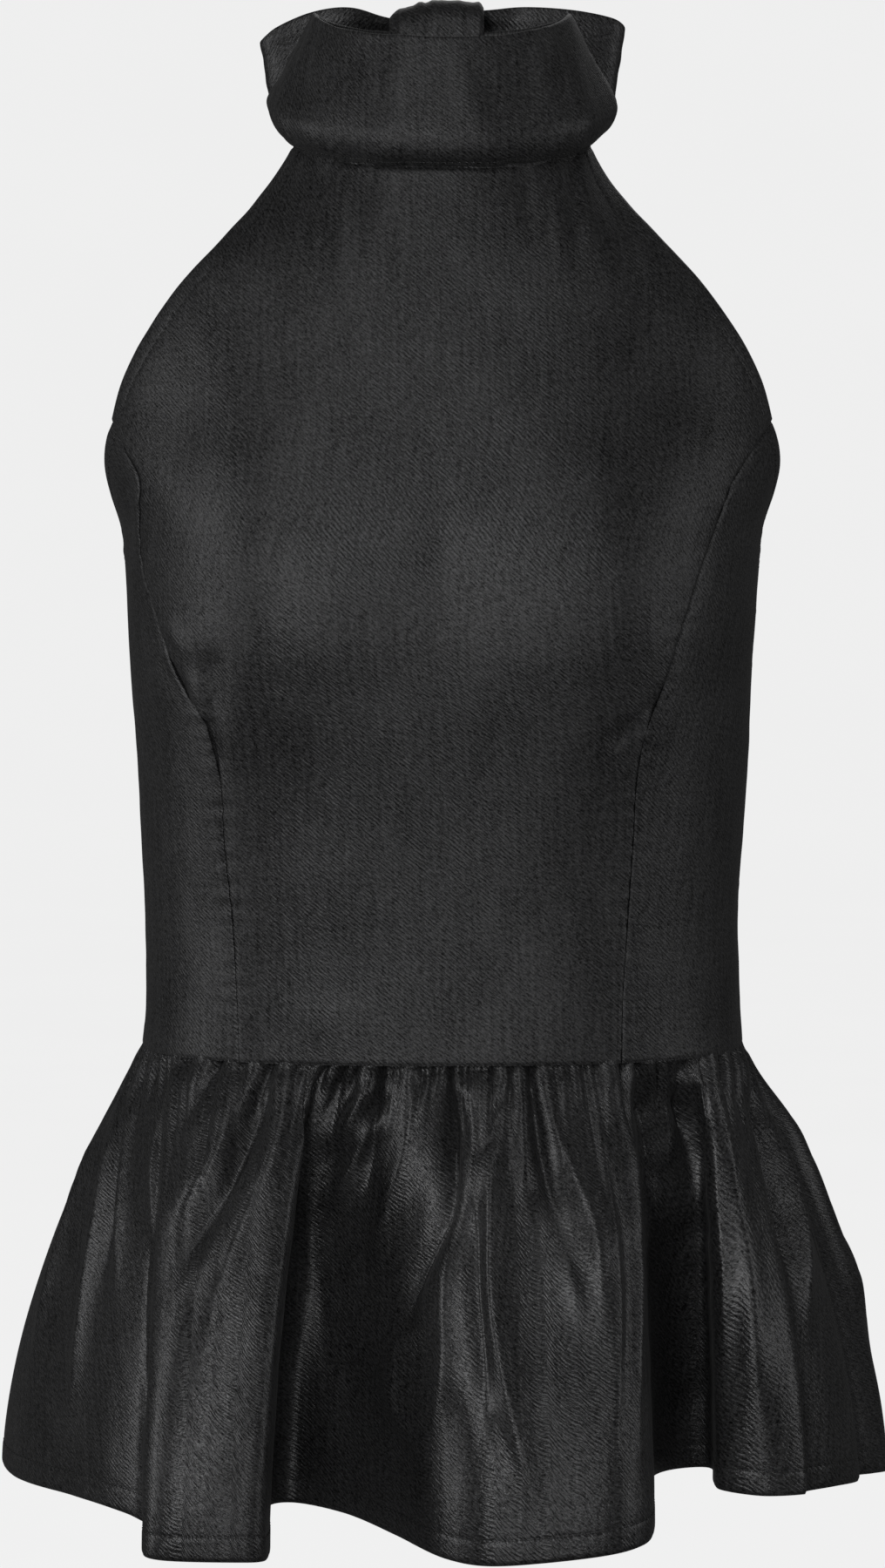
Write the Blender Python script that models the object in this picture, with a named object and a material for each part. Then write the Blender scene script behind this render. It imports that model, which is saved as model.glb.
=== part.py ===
"""A sleeveless peplum top with a halter collar that ends in a bow behind the neck, hollow, as it is worn.

Metres, +Z up. The front faces -Y and the wearer's left is at +X. The origin is on the neck's axis, level
with the foot of the collar at its sides. Angles go round the figure in degrees, 0 at the centre front and
90 at +X. Every cloth piece is a wall between an outer face and an inner face.
"""

import math
from collections import namedtuple

import bmesh
import bpy
import numpy as np

# Cloth and seams
CLOTH = 0.0015
GATHERED_CLOTH = 0.0019
COLLAR_CLOTH = 0.0030
BOW_CLOTH = 0.0024
SEAM_GAP = 0.0003

# Main heights and angles
WAIST = -0.3980
UNDERARM = -0.1760
BACK_TOP = -0.1900
NECK_BLEND_FROM = 0.86
PRINCESS_TOP = -0.1275
SIDE_SEAM = 90.0
CENTRE_BACK = 180.0
COLLAR_CORNER = 80.0

# The figure: one row for each level section of the bodice, from the neck down
Section = namedtuple("Section", "height half_width front back")
BODY = (
    Section(0.010, 0.0560, 0.0580, 0.0560),
    Section(-0.005, 0.0660, 0.0605, 0.0640),
    Section(-0.019, 0.0790, 0.0640, 0.0720),
    Section(-0.034, 0.0955, 0.0690, 0.0790),
    Section(-0.049, 0.1125, 0.0740, 0.0840),
    Section(-0.065, 0.1265, 0.0795, 0.0880),
    Section(-0.080, 0.1358, 0.0850, 0.0910),
    Section(-0.095, 0.1415, 0.0905, 0.0930),
    Section(-0.110, 0.1447, 0.0960, 0.0945),
    Section(-0.125, 0.1462, 0.1010, 0.0950),
    Section(-0.146, 0.1467, 0.1070, 0.0950),
    Section(-0.158, 0.1440, 0.1100, 0.0945),
    Section(-0.172, 0.1397, 0.1130, 0.0940),
    Section(-0.188, 0.1380, 0.1155, 0.0930),
    Section(-0.217, 0.1362, 0.1175, 0.0900),
    Section(-0.247, 0.1343, 0.1150, 0.0860),
    Section(-0.277, 0.1326, 0.1110, 0.0815),
    Section(-0.308, 0.1309, 0.1075, 0.0790),
    Section(-0.338, 0.1294, 0.1050, 0.0785),
    Section(-0.361, 0.1290, 0.1040, 0.0800),
    Section(-0.384, 0.1296, 0.1035, 0.0825),
    Section(-0.400, 0.1312, 0.1035, 0.0840),
)
SQUARENESS = 2.5

# The cups: a soft swell on each side of the centre front, shaped by the princess seams
CUP_ACROSS = 0.078
CUP_HEIGHT = -0.205
CUP_FULLNESS = 0.011
CUP_WIDTH = 0.036
CUP_LENGTH = 0.045

# The bodice seams: distance of each from the centre line, seen from the front
Seam = namedtuple("Seam", "height right_side left_side")
PRINCESS = (
    Seam(-0.1275, 0.1414, 0.1414),
    Seam(-0.1338, 0.1379, 0.1362),
    Seam(-0.1443, 0.1328, 0.1292),
    Seam(-0.1502, 0.1293, 0.1249),
    Seam(-0.1640, 0.1288, 0.1188),
    Seam(-0.1782, 0.1287, 0.1132),
    Seam(-0.1915, 0.1269, 0.1080),
    Seam(-0.2061, 0.1221, 0.1031),
    Seam(-0.2206, 0.1172, 0.0984),
    Seam(-0.2330, 0.1130, 0.0946),
    Seam(-0.2438, 0.1068, 0.0908),
    Seam(-0.2531, 0.1005, 0.0871),
    Seam(-0.2656, 0.0964, 0.0836),
    Seam(-0.2773, 0.0936, 0.0819),
    Seam(-0.3061, 0.0918, 0.0803),
    Seam(-0.3393, 0.0885, 0.0782),
    Seam(-0.3724, 0.0866, 0.0761),
    Seam(-0.4000, 0.0857, 0.0759),
)
Edge = namedtuple("Edge", "height across")
ARMHOLE = (
    Edge(-0.0070, 0.0630),
    Edge(-0.0147, 0.0670),
    Edge(-0.0224, 0.0715),
    Edge(-0.0301, 0.0768),
    Edge(-0.0377, 0.0824),
    Edge(-0.0451, 0.0892),
    Edge(-0.0526, 0.0960),
    Edge(-0.0673, 0.1098),
    Edge(-0.0821, 0.1211),
    Edge(-0.0968, 0.1304),
    Edge(-0.1115, 0.1371),
    Edge(-0.1275, 0.1414),
)

# The collar: one row for each ring, from its foot to its folded top
CollarRing = namedtuple("CollarRing", "share side front back height")
COLLAR = (
    CollarRing(0.00, 0.0650, 0.0625, 0.0490, -0.0043),
    CollarRing(0.08, 0.0695, 0.0660, 0.0510, -0.0012),
    CollarRing(0.20, 0.0740, 0.0690, 0.0530, 0.0045),
    CollarRing(0.30, 0.0760, 0.0698, 0.0540, 0.0100),
    CollarRing(0.42, 0.0746, 0.0690, 0.0540, 0.0150),
    CollarRing(0.60, 0.0688, 0.0660, 0.0530, 0.0242),
    CollarRing(0.80, 0.0620, 0.0615, 0.0510, 0.0362),
    CollarRing(1.00, 0.0560, 0.0575, 0.0490, 0.0485),
)
COLLAR_SQUARENESS = 2.2
# The collar's slope for each metre forward of the neck's axis, and its rise for each metre behind it
COLLAR_FOOT_TILT = 0.248
COLLAR_TOP_TILT = 0.303
COLLAR_FOOT_RISE_BEHIND = 0.340
COLLAR_TOP_RISE_BEHIND = -0.138
COLLAR_TURN = 0.012

# The bow: a wrapped knot and two open loops
KNOT_BACK_SET = 0.0620
KNOT_SQUARENESS = 2.6
KnotRing = namedtuple("KnotRing", "across half_depth top bottom")
KNOT = (
    KnotRing(-0.0234, 0.0195, 0.0528, 0.0125),
    KnotRing(-0.0222, 0.0205, 0.0545, 0.0100),
    KnotRing(-0.0155, 0.0213, 0.0578, 0.0085),
    KnotRing(-0.0060, 0.0215, 0.0604, 0.0080),
    KnotRing(0.0035, 0.0215, 0.0608, 0.0075),
    KnotRing(0.0125, 0.0213, 0.0600, 0.0080),
    KnotRing(0.0175, 0.0208, 0.0588, 0.0090),
    KnotRing(0.0185, 0.0200, 0.0572, 0.0110),
)
LoopStation = namedtuple("LoopStation", "reach back_set top bottom")
RIGHT_LOOP = (
    LoopStation(0.0000, 0.0650, 0.0515, 0.0190),
    LoopStation(0.0170, 0.0575, 0.0563, 0.0120),
    LoopStation(0.0340, 0.0580, 0.0545, 0.0090),
    LoopStation(0.0500, 0.0625, 0.0482, 0.0070),
    LoopStation(0.0568, 0.0700, 0.0428, 0.0070),
    LoopStation(0.0510, 0.0790, 0.0475, 0.0070),
    LoopStation(0.0340, 0.0850, 0.0540, 0.0090),
    LoopStation(0.0150, 0.0825, 0.0550, 0.0130),
    LoopStation(0.0000, 0.0750, 0.0500, 0.0190),
)
LEFT_LOOP = (
    LoopStation(0.0000, 0.0650, 0.0555, 0.0190),
    LoopStation(0.0180, 0.0580, 0.0566, 0.0120),
    LoopStation(0.0400, 0.0585, 0.0553, 0.0090),
    LoopStation(0.0575, 0.0635, 0.0522, 0.0070),
    LoopStation(0.0622, 0.0705, 0.0490, 0.0070),
    LoopStation(0.0560, 0.0795, 0.0508, 0.0070),
    LoopStation(0.0380, 0.0845, 0.0540, 0.0090),
    LoopStation(0.0160, 0.0820, 0.0555, 0.0130),
    LoopStation(0.0000, 0.0750, 0.0510, 0.0190),
)
LOOP_FOOT_TAPER = 0.10

# The peplum: one row for each fold line, going round from the wearer's right side. waist: the angle where it
# starts. across, forward: where it ends at the hem. fall: how far below the waist the hem hangs there
FoldLine = namedtuple("FoldLine", "waist across forward fall")
FRONT_FOLDS = (
    FoldLine(-90.0, -0.1942, -0.0040, 0.1850),
    FoldLine(-84.0, -0.1870, 0.0280, 0.1867),
    FoldLine(-75.0, -0.1580, 0.0800, 0.1854),
    FoldLine(-69.5, -0.1417, 0.1050, 0.1853),
    FoldLine(-65.5, -0.1290, 0.1190, 0.1872),
    FoldLine(-63.5, -0.1228, 0.1235, 0.1900),
    FoldLine(-62.3, -0.1243, 0.1480, 0.1945),
    FoldLine(-60.5, -0.1232, 0.1580, 0.1958),
    FoldLine(-55.0, -0.1155, 0.1655, 0.1961),
    FoldLine(-37.0, -0.0850, 0.1672, 0.1967),
    FoldLine(-31.0, -0.0740, 0.1630, 0.1972),
    FoldLine(-28.5, -0.0706, 0.1520, 0.1975),
    FoldLine(-27.0, -0.0716, 0.1150, 0.1910),
    FoldLine(-25.0, -0.0718, 0.0930, 0.1872),
    FoldLine(-21.0, -0.0640, 0.0860, 0.1873),
    FoldLine(-13.5, -0.0431, 0.0970, 0.1893),
    FoldLine(-4.0, -0.0208, 0.1250, 0.1934),
    FoldLine(4.5, 0.0009, 0.1570, 0.1972),
    FoldLine(10.0, 0.0169, 0.1680, 0.1979),
    FoldLine(19.0, 0.0420, 0.1696, 0.1965),
    FoldLine(30.0, 0.0703, 0.1650, 0.1938),
    FoldLine(34.5, 0.0812, 0.1580, 0.1922),
    FoldLine(38.0, 0.0872, 0.1480, 0.1906),
    FoldLine(41.0, 0.0897, 0.1080, 0.1842),
    FoldLine(43.5, 0.0915, 0.0640, 0.1802),
    FoldLine(48.0, 0.1010, 0.0505, 0.1796),
    FoldLine(54.5, 0.1136, 0.0475, 0.1794),
    FoldLine(56.5, 0.1156, 0.0560, 0.1801),
    FoldLine(58.5, 0.1148, 0.0780, 0.1812),
    FoldLine(60.5, 0.1171, 0.0860, 0.1818),
    FoldLine(67.5, 0.1350, 0.0937, 0.1831),
    FoldLine(75.5, 0.1548, 0.0860, 0.1837),
    FoldLine(77.5, 0.1548, 0.0780, 0.1843),
    FoldLine(83.5, 0.1689, 0.0600, 0.1852),
    FoldLine(90.0, 0.1813, 0.0360, 0.1872),
)
# Behind, the rows are crests and valleys in turn, and the lines that round them are worked out
BACK_FOLDS = (
    FoldLine(90.0, 0.1813, 0.0360, 0.1872),
    FoldLine(100.0, 0.1945, -0.0180, 0.1895),
    FoldLine(117.0, 0.1500, -0.0710, 0.1860),
    FoldLine(135.0, 0.1150, -0.1380, 0.1885),
    FoldLine(155.0, 0.0660, -0.0870, 0.1830),
    FoldLine(178.0, 0.0030, -0.1510, 0.1890),
    FoldLine(198.0, -0.0470, -0.0880, 0.1830),
    FoldLine(220.0, -0.1070, -0.1410, 0.1885),
    FoldLine(239.0, -0.1440, -0.0740, 0.1850),
    FoldLine(256.0, -0.1880, -0.0470, 0.1865),
    FoldLine(270.0, -0.1942, -0.0040, 0.1850),
)
# A rounding line: its share of the way from a valley to a crest, at the waist, along the hem and outward
Rounding = namedtuple("Rounding", "waist along outward")
ROUNDINGS = (Rounding(0.24, 0.27, 0.13), Rounding(0.44, 0.42, 0.50), Rounding(0.66, 0.62, 0.90))
FLARE = 1.65
GATHERS_EACH_SIDE = 26
GATHER_DEPTH = 0.0021
GATHER_LENGTH = 0.40
GATHER_SWAY, GATHER_SWAYS = 0.8, 9

# Mesh fineness
FRONT_COLUMNS = 16
NECK_ROWS = 10
SIDE_ROWS, SIDE_COLUMNS = 13, 5
BACK_COLUMNS = 10
COLLAR_ROWS, COLLAR_COLUMNS = 8, 52
LOOP_ROWS, LOOP_COLUMNS = 4, 30
KNOT_COLUMNS = 20
PEPLUM_ROWS, PEPLUM_COLUMNS = 8, 116
PEPLUM_ROW_CROWDING = 1.25
HEM_CURVE_POINTS = 4401
NEIGHBOUR_STEP = 0.4
SHARP_EDGE = 50.0

SATIN_BLACK = (0.012, 0.012, 0.013, 1.0)
SATIN_ROUGHNESS = 0.42


def smooth(places, values, at):
    """The smooth curve through the values at rising places, read at other places."""
    places, values, at = (np.asarray(a, float) for a in (places, values, at))
    slopes = np.gradient(values, places)
    i = np.clip(np.searchsorted(places, at) - 1, 0, len(places) - 2)
    span = places[i + 1] - places[i]
    t = np.clip((at - places[i]) / span, 0.0, 1.0)
    start, end = values[i], values[i + 1]
    rise_in, rise_out = slopes[i] * span, slopes[i + 1] * span
    return (
        start * (1 + 2 * t) * (1 - t) ** 2
        + rise_in * t * (1 - t) ** 2
        + end * t**2 * (3 - 2 * t)
        + rise_out * t**2 * (t - 1)
    )


def column(table, name, at, key="height"):
    """One named column of a table, read on a smooth curve along its key column."""
    rows = sorted(table, key=lambda row: getattr(row, key))
    return smooth([getattr(r, key) for r in rows], [getattr(r, name) for r in rows], at)


def ramp(t):
    """0 to 1, easing in and out."""
    t = np.clip(t, 0.0, 1.0)
    return t * t * (3 - 2 * t)


def rounded_square(angle, half_width, front, back, squareness):
    """Distance from the axis of a rounded, squarish ring at an angle in radians."""
    depth = np.where(np.cos(angle) > 0, front, back)
    return (
        np.abs(np.sin(angle) / half_width) ** squareness + np.abs(np.cos(angle) / depth) ** squareness
    ) ** (-1 / squareness)


def body_point(angle, height):
    """The bodice's outer face at an angle in radians and a height."""
    radius = rounded_square(
        angle,
        column(BODY, "half_width", height),
        column(BODY, "front", height),
        column(BODY, "back", height),
        SQUARENESS,
    )
    x, y = radius * np.sin(angle), -radius * np.cos(angle)
    cup = np.exp(
        -(((np.abs(x) - CUP_ACROSS) / CUP_WIDTH) ** 2 + ((height - CUP_HEIGHT) / CUP_LENGTH) ** 2) / 2
    )
    y = y - CUP_FULLNESS * cup * np.clip(np.cos(angle) * 2, 0, 1)
    return np.stack([x, y, height + 0 * x], axis=-1)


def inward(points_at, angle, *rest):
    """The level direction into a ring surface, worked out from its neighbours along the ring."""
    step = math.radians(NEIGHBOUR_STEP)
    along = points_at(angle + step, *rest) - points_at(angle - step, *rest)
    level = np.stack([-along[..., 1], along[..., 0], 0 * along[..., 0]], axis=-1)
    return level / np.linalg.norm(level, axis=-1, keepdims=True)


def angle_on_body(across, height):
    """The angle in radians at which the front of the bodice is this far from the centre line."""
    half_width = column(BODY, "half_width", height)
    share = np.clip(across / half_width, -0.9995, 0.9995)
    depth = column(BODY, "front", height) * (1 - np.abs(share) ** SQUARENESS) ** (1 / SQUARENESS)
    return np.arctan2(across, depth)


def wall(name, outer, inner):
    """A closed solid between two grids of points, rows by columns."""
    rows, columns = outer.shape[:2]
    mesh = bmesh.new()
    out = [[mesh.verts.new(outer[r, c]) for c in range(columns)] for r in range(rows)]
    inn = [[mesh.verts.new(inner[r, c]) for c in range(columns)] for r in range(rows)]
    for r in range(rows - 1):
        for c in range(columns - 1):
            mesh.faces.new((out[r][c], out[r][c + 1], out[r + 1][c + 1], out[r + 1][c]))
            mesh.faces.new((inn[r][c], inn[r + 1][c], inn[r + 1][c + 1], inn[r][c + 1]))
    for c in range(columns - 1):
        mesh.faces.new((out[0][c], inn[0][c], inn[0][c + 1], out[0][c + 1]))
        mesh.faces.new((out[-1][c], out[-1][c + 1], inn[-1][c + 1], inn[-1][c]))
    for r in range(rows - 1):
        mesh.faces.new((out[r][0], out[r + 1][0], inn[r + 1][0], inn[r][0]))
        mesh.faces.new((out[r][-1], inn[r][-1], inn[r + 1][-1], out[r + 1][-1]))
    return finished(name, mesh)


def finished(name, mesh):
    """An object of its own from a bmesh, with the satin on it."""
    bmesh.ops.recalc_face_normals(mesh, faces=mesh.faces)
    data = bpy.data.meshes.new(name)
    mesh.to_mesh(data)
    mesh.free()
    data.shade_smooth()
    data.set_sharp_from_angle(angle=math.radians(SHARP_EDGE))
    data.materials.append(satin(name))
    made = bpy.data.objects.new(name, data)
    bpy.context.scene.collection.objects.link(made)
    return made


def satin(name):
    """The piece's own black satin."""
    material = bpy.data.materials.new(name + "_satin")
    material.use_nodes = True
    shader = material.node_tree.nodes["Principled BSDF"]
    shader.inputs["Base Color"].default_value = SATIN_BLACK
    shader.inputs["Roughness"].default_value = SATIN_ROUGHNESS
    shader.inputs["Metallic"].default_value = 0.0
    return material


def body_wall(name, angle, height, shift=None):
    """A bodice panel on the grid of angles and heights. shift moves its points, as at the neckline."""
    outer = body_point(angle, height)
    inner = outer + CLOTH * inward(body_point, angle, height)
    if shift is not None:
        outer, inner = outer + shift, inner + shift
    return wall(name, outer, inner)


def princess_angle(height, side):
    """The angle of a princess seam at a height, on the side whose sign is given."""
    across = column(PRINCESS, "left_side" if side > 0 else "right_side", height)
    return angle_on_body(side * across, height)


def armhole_angle(height, side):
    """The angle of the front's armhole edge at a height, on the side whose sign is given."""
    return angle_on_body(side * column(ARMHOLE, "across", height), height)


def gap_angle(angle, height):
    """The angle that half a seam gap takes at this place."""
    point = body_point(angle, height)
    return SEAM_GAP / 2 / np.hypot(point[..., 0], point[..., 1])


def collar_point(angle, share):
    """The collar's outer face at an angle in radians, share of the way from its foot to its top."""
    radius = rounded_square(
        angle,
        column(COLLAR, "side", share, "share"),
        column(COLLAR, "front", share, "share"),
        column(COLLAR, "back", share, "share"),
        COLLAR_SQUARENESS,
    )
    x, y = radius * np.sin(angle), -radius * np.cos(angle)
    behind = (y + np.sqrt(y**2 + COLLAR_TURN**2) - COLLAR_TURN) / 2
    before = y - behind
    tilt = COLLAR_FOOT_TILT + (COLLAR_TOP_TILT - COLLAR_FOOT_TILT) * share
    rise = COLLAR_FOOT_RISE_BEHIND + (COLLAR_TOP_RISE_BEHIND - COLLAR_FOOT_RISE_BEHIND) * share
    height = column(COLLAR, "height", share, "share") + tilt * before + rise * behind
    return np.stack([x, y, height], axis=-1)


def make_front():
    """The centre front, from princess seam to princess seam and up between the armholes to the collar."""
    across = np.linspace(-1, 1, FRONT_COLUMNS + 1)[None, :]
    corner = collar_point(math.radians(COLLAR_CORNER), 0.0)[2] - SEAM_GAP
    middle = collar_point(0.0, 0.0)[2] - SEAM_GAP
    foot = WAIST + SEAM_GAP / 2
    below = np.linspace(foot, PRINCESS_TOP, SIDE_ROWS + 1)
    edge_height = np.concatenate([below, np.linspace(PRINCESS_TOP, corner, NECK_ROWS + 1)[1:]])[:, None]
    rows = (edge_height - foot) / (corner - foot)
    height = edge_height + (middle - corner) * rows**2 * (1 - across**2)
    above = edge_height > PRINCESS_TOP + 1e-6
    edges = []
    for side in (-1, 1):
        seam = princess_angle(np.minimum(edge_height, PRINCESS_TOP), side)
        seam = seam - side * gap_angle(seam, edge_height)
        edges.append(np.where(above, armhole_angle(np.maximum(edge_height, PRINCESS_TOP), side), seam))
    angle = edges[0] + (edges[1] - edges[0]) * (across + 1) / 2
    neckline = collar_point(np.radians(COLLAR_CORNER) * across[0], 0.0) - (0, 0, SEAM_GAP)
    shift = (neckline - body_point(angle[-1], height[-1]))[None]
    shift = shift * ramp((rows - NECK_BLEND_FROM) / (1 - NECK_BLEND_FROM))[..., None]
    return body_wall("front_panel", angle, height, shift)


def make_side_front(name, side):
    """A side panel, from the princess seam to the side seam, under the armhole."""
    rows = np.linspace(0, 1, SIDE_ROWS + 1)[:, None]
    across = np.linspace(0, 1, SIDE_COLUMNS + 1)[None, :]
    foot = WAIST + SEAM_GAP / 2
    at_princess = foot + (PRINCESS_TOP - foot) * rows
    at_side = foot + (UNDERARM - foot) * rows
    start = princess_angle(at_princess, side)
    start = start + side * gap_angle(start, at_princess)
    end = side * math.radians(SIDE_SEAM)
    end = end - side * gap_angle(np.full_like(at_side, end), at_side)
    height = at_princess + (at_side - at_princess) * across
    angle = start + (end - start) * across
    return body_wall(name, angle, height)


def make_back(name, side):
    """A back panel, from the side seam to the centre back, open above."""
    rows = np.linspace(0, 1, SIDE_ROWS + 1)[:, None]
    across = np.linspace(0, 1, BACK_COLUMNS + 1)[None, :]
    foot = WAIST + SEAM_GAP / 2
    top = UNDERARM + (BACK_TOP - UNDERARM) * ramp(across)
    height = foot + (top - foot) * rows
    side_seam, centre = (side * math.radians(a) for a in (SIDE_SEAM, CENTRE_BACK))
    half_gap = side * gap_angle(np.full_like(height, side_seam), height)
    angle = side_seam + half_gap + (centre - side_seam - 2 * half_gap) * across
    return body_wall(name, angle, height)


def make_collar():
    """The folded collar band, from one side of the knot round the front of the neck to the other."""
    share = np.linspace(0, 1, COLLAR_ROWS + 1)[:, None]
    ends = []
    for knot_side in (KNOT[0].across - SEAM_GAP, KNOT[-1].across + SEAM_GAP):
        depth = column(COLLAR, "back", share, "share")
        half_width = column(COLLAR, "side", share, "share")
        part = np.abs(knot_side) / half_width
        depth = depth * (1 - part**COLLAR_SQUARENESS) ** (1 / COLLAR_SQUARENESS)
        ends.append(np.arctan2(knot_side, -depth))
    across = np.linspace(0, 1, COLLAR_COLUMNS + 1)[None, :]
    angle = ends[0] + (ends[1] - ends[0]) * across
    share = share + 0 * angle
    outer = collar_point(angle, share)
    inner = outer + COLLAR_CLOTH * inward(collar_point, angle, share)
    for edge, limit in ((0, KNOT[0].across - SEAM_GAP), (-1, KNOT[-1].across + SEAM_GAP)):
        outer[:, edge, 0] = limit
        inner[:, edge, 0] = limit
    return wall("collar", outer, inner)


def make_knot():
    """The cloth wrapped round the middle of the bow, as rings along X."""
    turn = np.linspace(0, 2 * math.pi, KNOT_COLUMNS, endpoint=False)
    mesh = bmesh.new()
    rings = []
    for row in KNOT:
        half_height = (row.top - row.bottom) / 2
        radius = rounded_square(turn, row.half_depth, half_height, half_height, KNOT_SQUARENESS)
        y = KNOT_BACK_SET + radius * np.sin(turn)
        z = row.bottom + half_height + radius * np.cos(turn)
        rings.append([mesh.verts.new((row.across, b, c)) for b, c in zip(y, z)])
    for one, other in zip(rings, rings[1:]):
        for k in range(KNOT_COLUMNS):
            m = (k + 1) % KNOT_COLUMNS
            mesh.faces.new((one[k], one[m], other[m], other[k]))
    mesh.faces.new(rings[0])
    mesh.faces.new(rings[-1])
    return finished("bow_knot", mesh)


def make_loop(name, stations, side, knot_side):
    """One open loop of the bow: a band that leaves the knot, turns round at its tip and comes back."""
    along = np.linspace(0, len(stations) - 1, LOOP_COLUMNS + 1)
    order = np.arange(len(stations))
    reach, back_set, top, bottom = (
        smooth(order, [getattr(s, c) for s in stations], along) for c in LoopStation._fields
    )
    share = np.linspace(0, 1, LOOP_ROWS + 1)[:, None]
    taper = 1 - LOOP_FOOT_TAPER * (1 - share)
    x = knot_side + side * (SEAM_GAP + np.maximum(reach, 0) * taper)
    y = back_set + 0 * share
    z = bottom + (top - bottom) * share
    middle = np.stack([x, y, z], axis=-1)
    run = np.gradient(middle, axis=1)
    level = np.stack([-run[..., 1], run[..., 0], 0 * run[..., 0]], axis=-1)
    level[:, 0] = level[:, -1] = (0, 1, 0)
    level[:, 0] *= side
    level[:, -1] *= -side
    level /= np.linalg.norm(level, axis=-1, keepdims=True)
    half = BOW_CLOTH / 2 * level
    return wall(name, middle - half, middle + half)


def toward_crest(valley, crest, outward, share):
    """A rounding line between a valley and a crest, which stands out along the level direction outward."""
    low, high = (np.array([fold.across, fold.forward]) for fold in (valley, crest))
    out = (high - low) @ outward * outward
    place = low + out * share.outward + (high - low - out) * share.along
    waist = valley.waist + (crest.waist - valley.waist) * share.waist
    return FoldLine(waist, *place, valley.fall + (crest.fall - valley.fall) * share.outward)


def rounded_folds(folds):
    """Valleys and crests in turn, with the rounding lines added on each side of every crest."""
    lines = [folds[0]]
    for before, crest, after in zip(folds[:-2:2], folds[1::2], folds[2::2]):
        outward = np.array([before.forward - after.forward, after.across - before.across])
        outward /= np.linalg.norm(outward)
        lines += [toward_crest(before, crest, outward, share) for share in ROUNDINGS] + [crest]
        lines += [toward_crest(after, crest, outward, share) for share in ROUNDINGS[::-1]] + [after]
    return lines


def peplum_columns():
    """Waist angle (radians), hem x, hem y and hem fall along a fine curve through the fold lines."""
    folds = list(FRONT_FOLDS) + rounded_folds(BACK_FOLDS)[1:]
    lines = np.array([(f.waist, f.across, -f.forward, f.fall) for f in folds])
    before, after = lines[-4:-1] - (360, 0, 0, 0), lines[1:4] + (360, 0, 0, 0)
    closed = np.vstack([before, lines, after])
    steps = np.linalg.norm(np.diff(closed[:, 1:3], axis=0), axis=1) ** 0.5
    knots = np.concatenate([[0], np.cumsum(steps)])
    fine = np.linspace(knots[1], knots[-2], HEM_CURVE_POINTS)
    waist, x, y, fall = (smooth(knots, closed[:, k], fine) for k in range(4))
    return np.radians(np.maximum.accumulate(waist)), x, y, fall


def peplum_half(start, end, count):
    """The columns from one waist angle to another, and one beyond each end.

    They are spread evenly along the hem and the waist together.
    """
    waist, x, y, fall = peplum_columns()
    hem = np.concatenate([[0], np.cumsum(np.hypot(np.diff(x), np.diff(y)))])
    evenly = hem / hem[-1] + (waist - waist[0]) / (waist[-1] - waist[0])
    first, last = np.interp([start, end], waist, evenly)
    at = first + (last - first) * np.arange(-1, count + 2) / count
    return [np.interp(at, evenly, values) for values in (waist, x, y, fall)]


def peplum_surface(waist, x, y, fall, share):
    """The peplum without its gathers: from the waist seam, share 0, to the hem, share 1."""
    top = body_point(waist, np.full_like(waist, WAIST))[:, :2]
    flare = 1 - (1 - share) ** FLARE
    level = top + (np.stack([x, y], axis=-1) - top) * flare
    return level, WAIST - SEAM_GAP / 2 - fall * share


def make_peplum(name, start, end):
    """A half of the gathered peplum, from side seam to side seam."""
    start, end = math.radians(start), math.radians(end)
    half_gap = gap_angle(start, WAIST)
    columns = peplum_half(start + half_gap, end - half_gap, PEPLUM_COLUMNS)
    gathers = np.cos(columns[0] * 2 * GATHERS_EACH_SIDE + GATHER_SWAY * np.sin(columns[0] * GATHER_SWAYS))
    outer, inner = [], []
    for share in np.linspace(0, 1, PEPLUM_ROWS + 1) ** PEPLUM_ROW_CROWDING:
        level, height = peplum_surface(*columns, share)
        along = np.gradient(level, axis=0)
        out = np.stack([along[:, 1], -along[:, 0]], axis=-1)
        out /= np.linalg.norm(out, axis=1, keepdims=True)
        ripple = gathers * GATHER_DEPTH * (1 - ramp(share / GATHER_LENGTH))
        face = level + out * ripple[:, None]
        outer.append(np.column_stack([face, height])[1:-1])
        inner.append(np.column_stack([face - out * GATHERED_CLOTH, height])[1:-1])
    return wall(name, np.array(outer), np.array(inner))


def make_top():
    for old in list(bpy.data.objects):
        bpy.data.objects.remove(old)
    make_front()
    make_side_front("side_front_right", -1)
    make_side_front("side_front_left", 1)
    make_back("back_right", -1)
    make_back("back_left", 1)
    make_collar()
    make_knot()
    make_loop("bow_loop_right", RIGHT_LOOP, -1, KNOT[0].across)
    make_loop("bow_loop_left", LEFT_LOOP, 1, KNOT[-1].across)
    make_peplum("peplum_front", -SIDE_SEAM, SIDE_SEAM)
    make_peplum("peplum_back", SIDE_SEAM, 360 - SIDE_SEAM)


make_top()
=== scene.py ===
"""The looks of a black satin peplum top with a halter collar and a bow at the nape, hollow, as it is worn.

Metres, +Z up. The front faces -Y and the wearer's left is at +X. The origin is on the neck's axis, level
with the foot of the collar at its sides. Angles go round the figure, 0 at the centre front and 90 degrees
at +X. Each piece of cloth is a grid of points, its rows going up and its columns going round to the left,
made into a thin shell.
"""

import math
from collections import namedtuple

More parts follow.
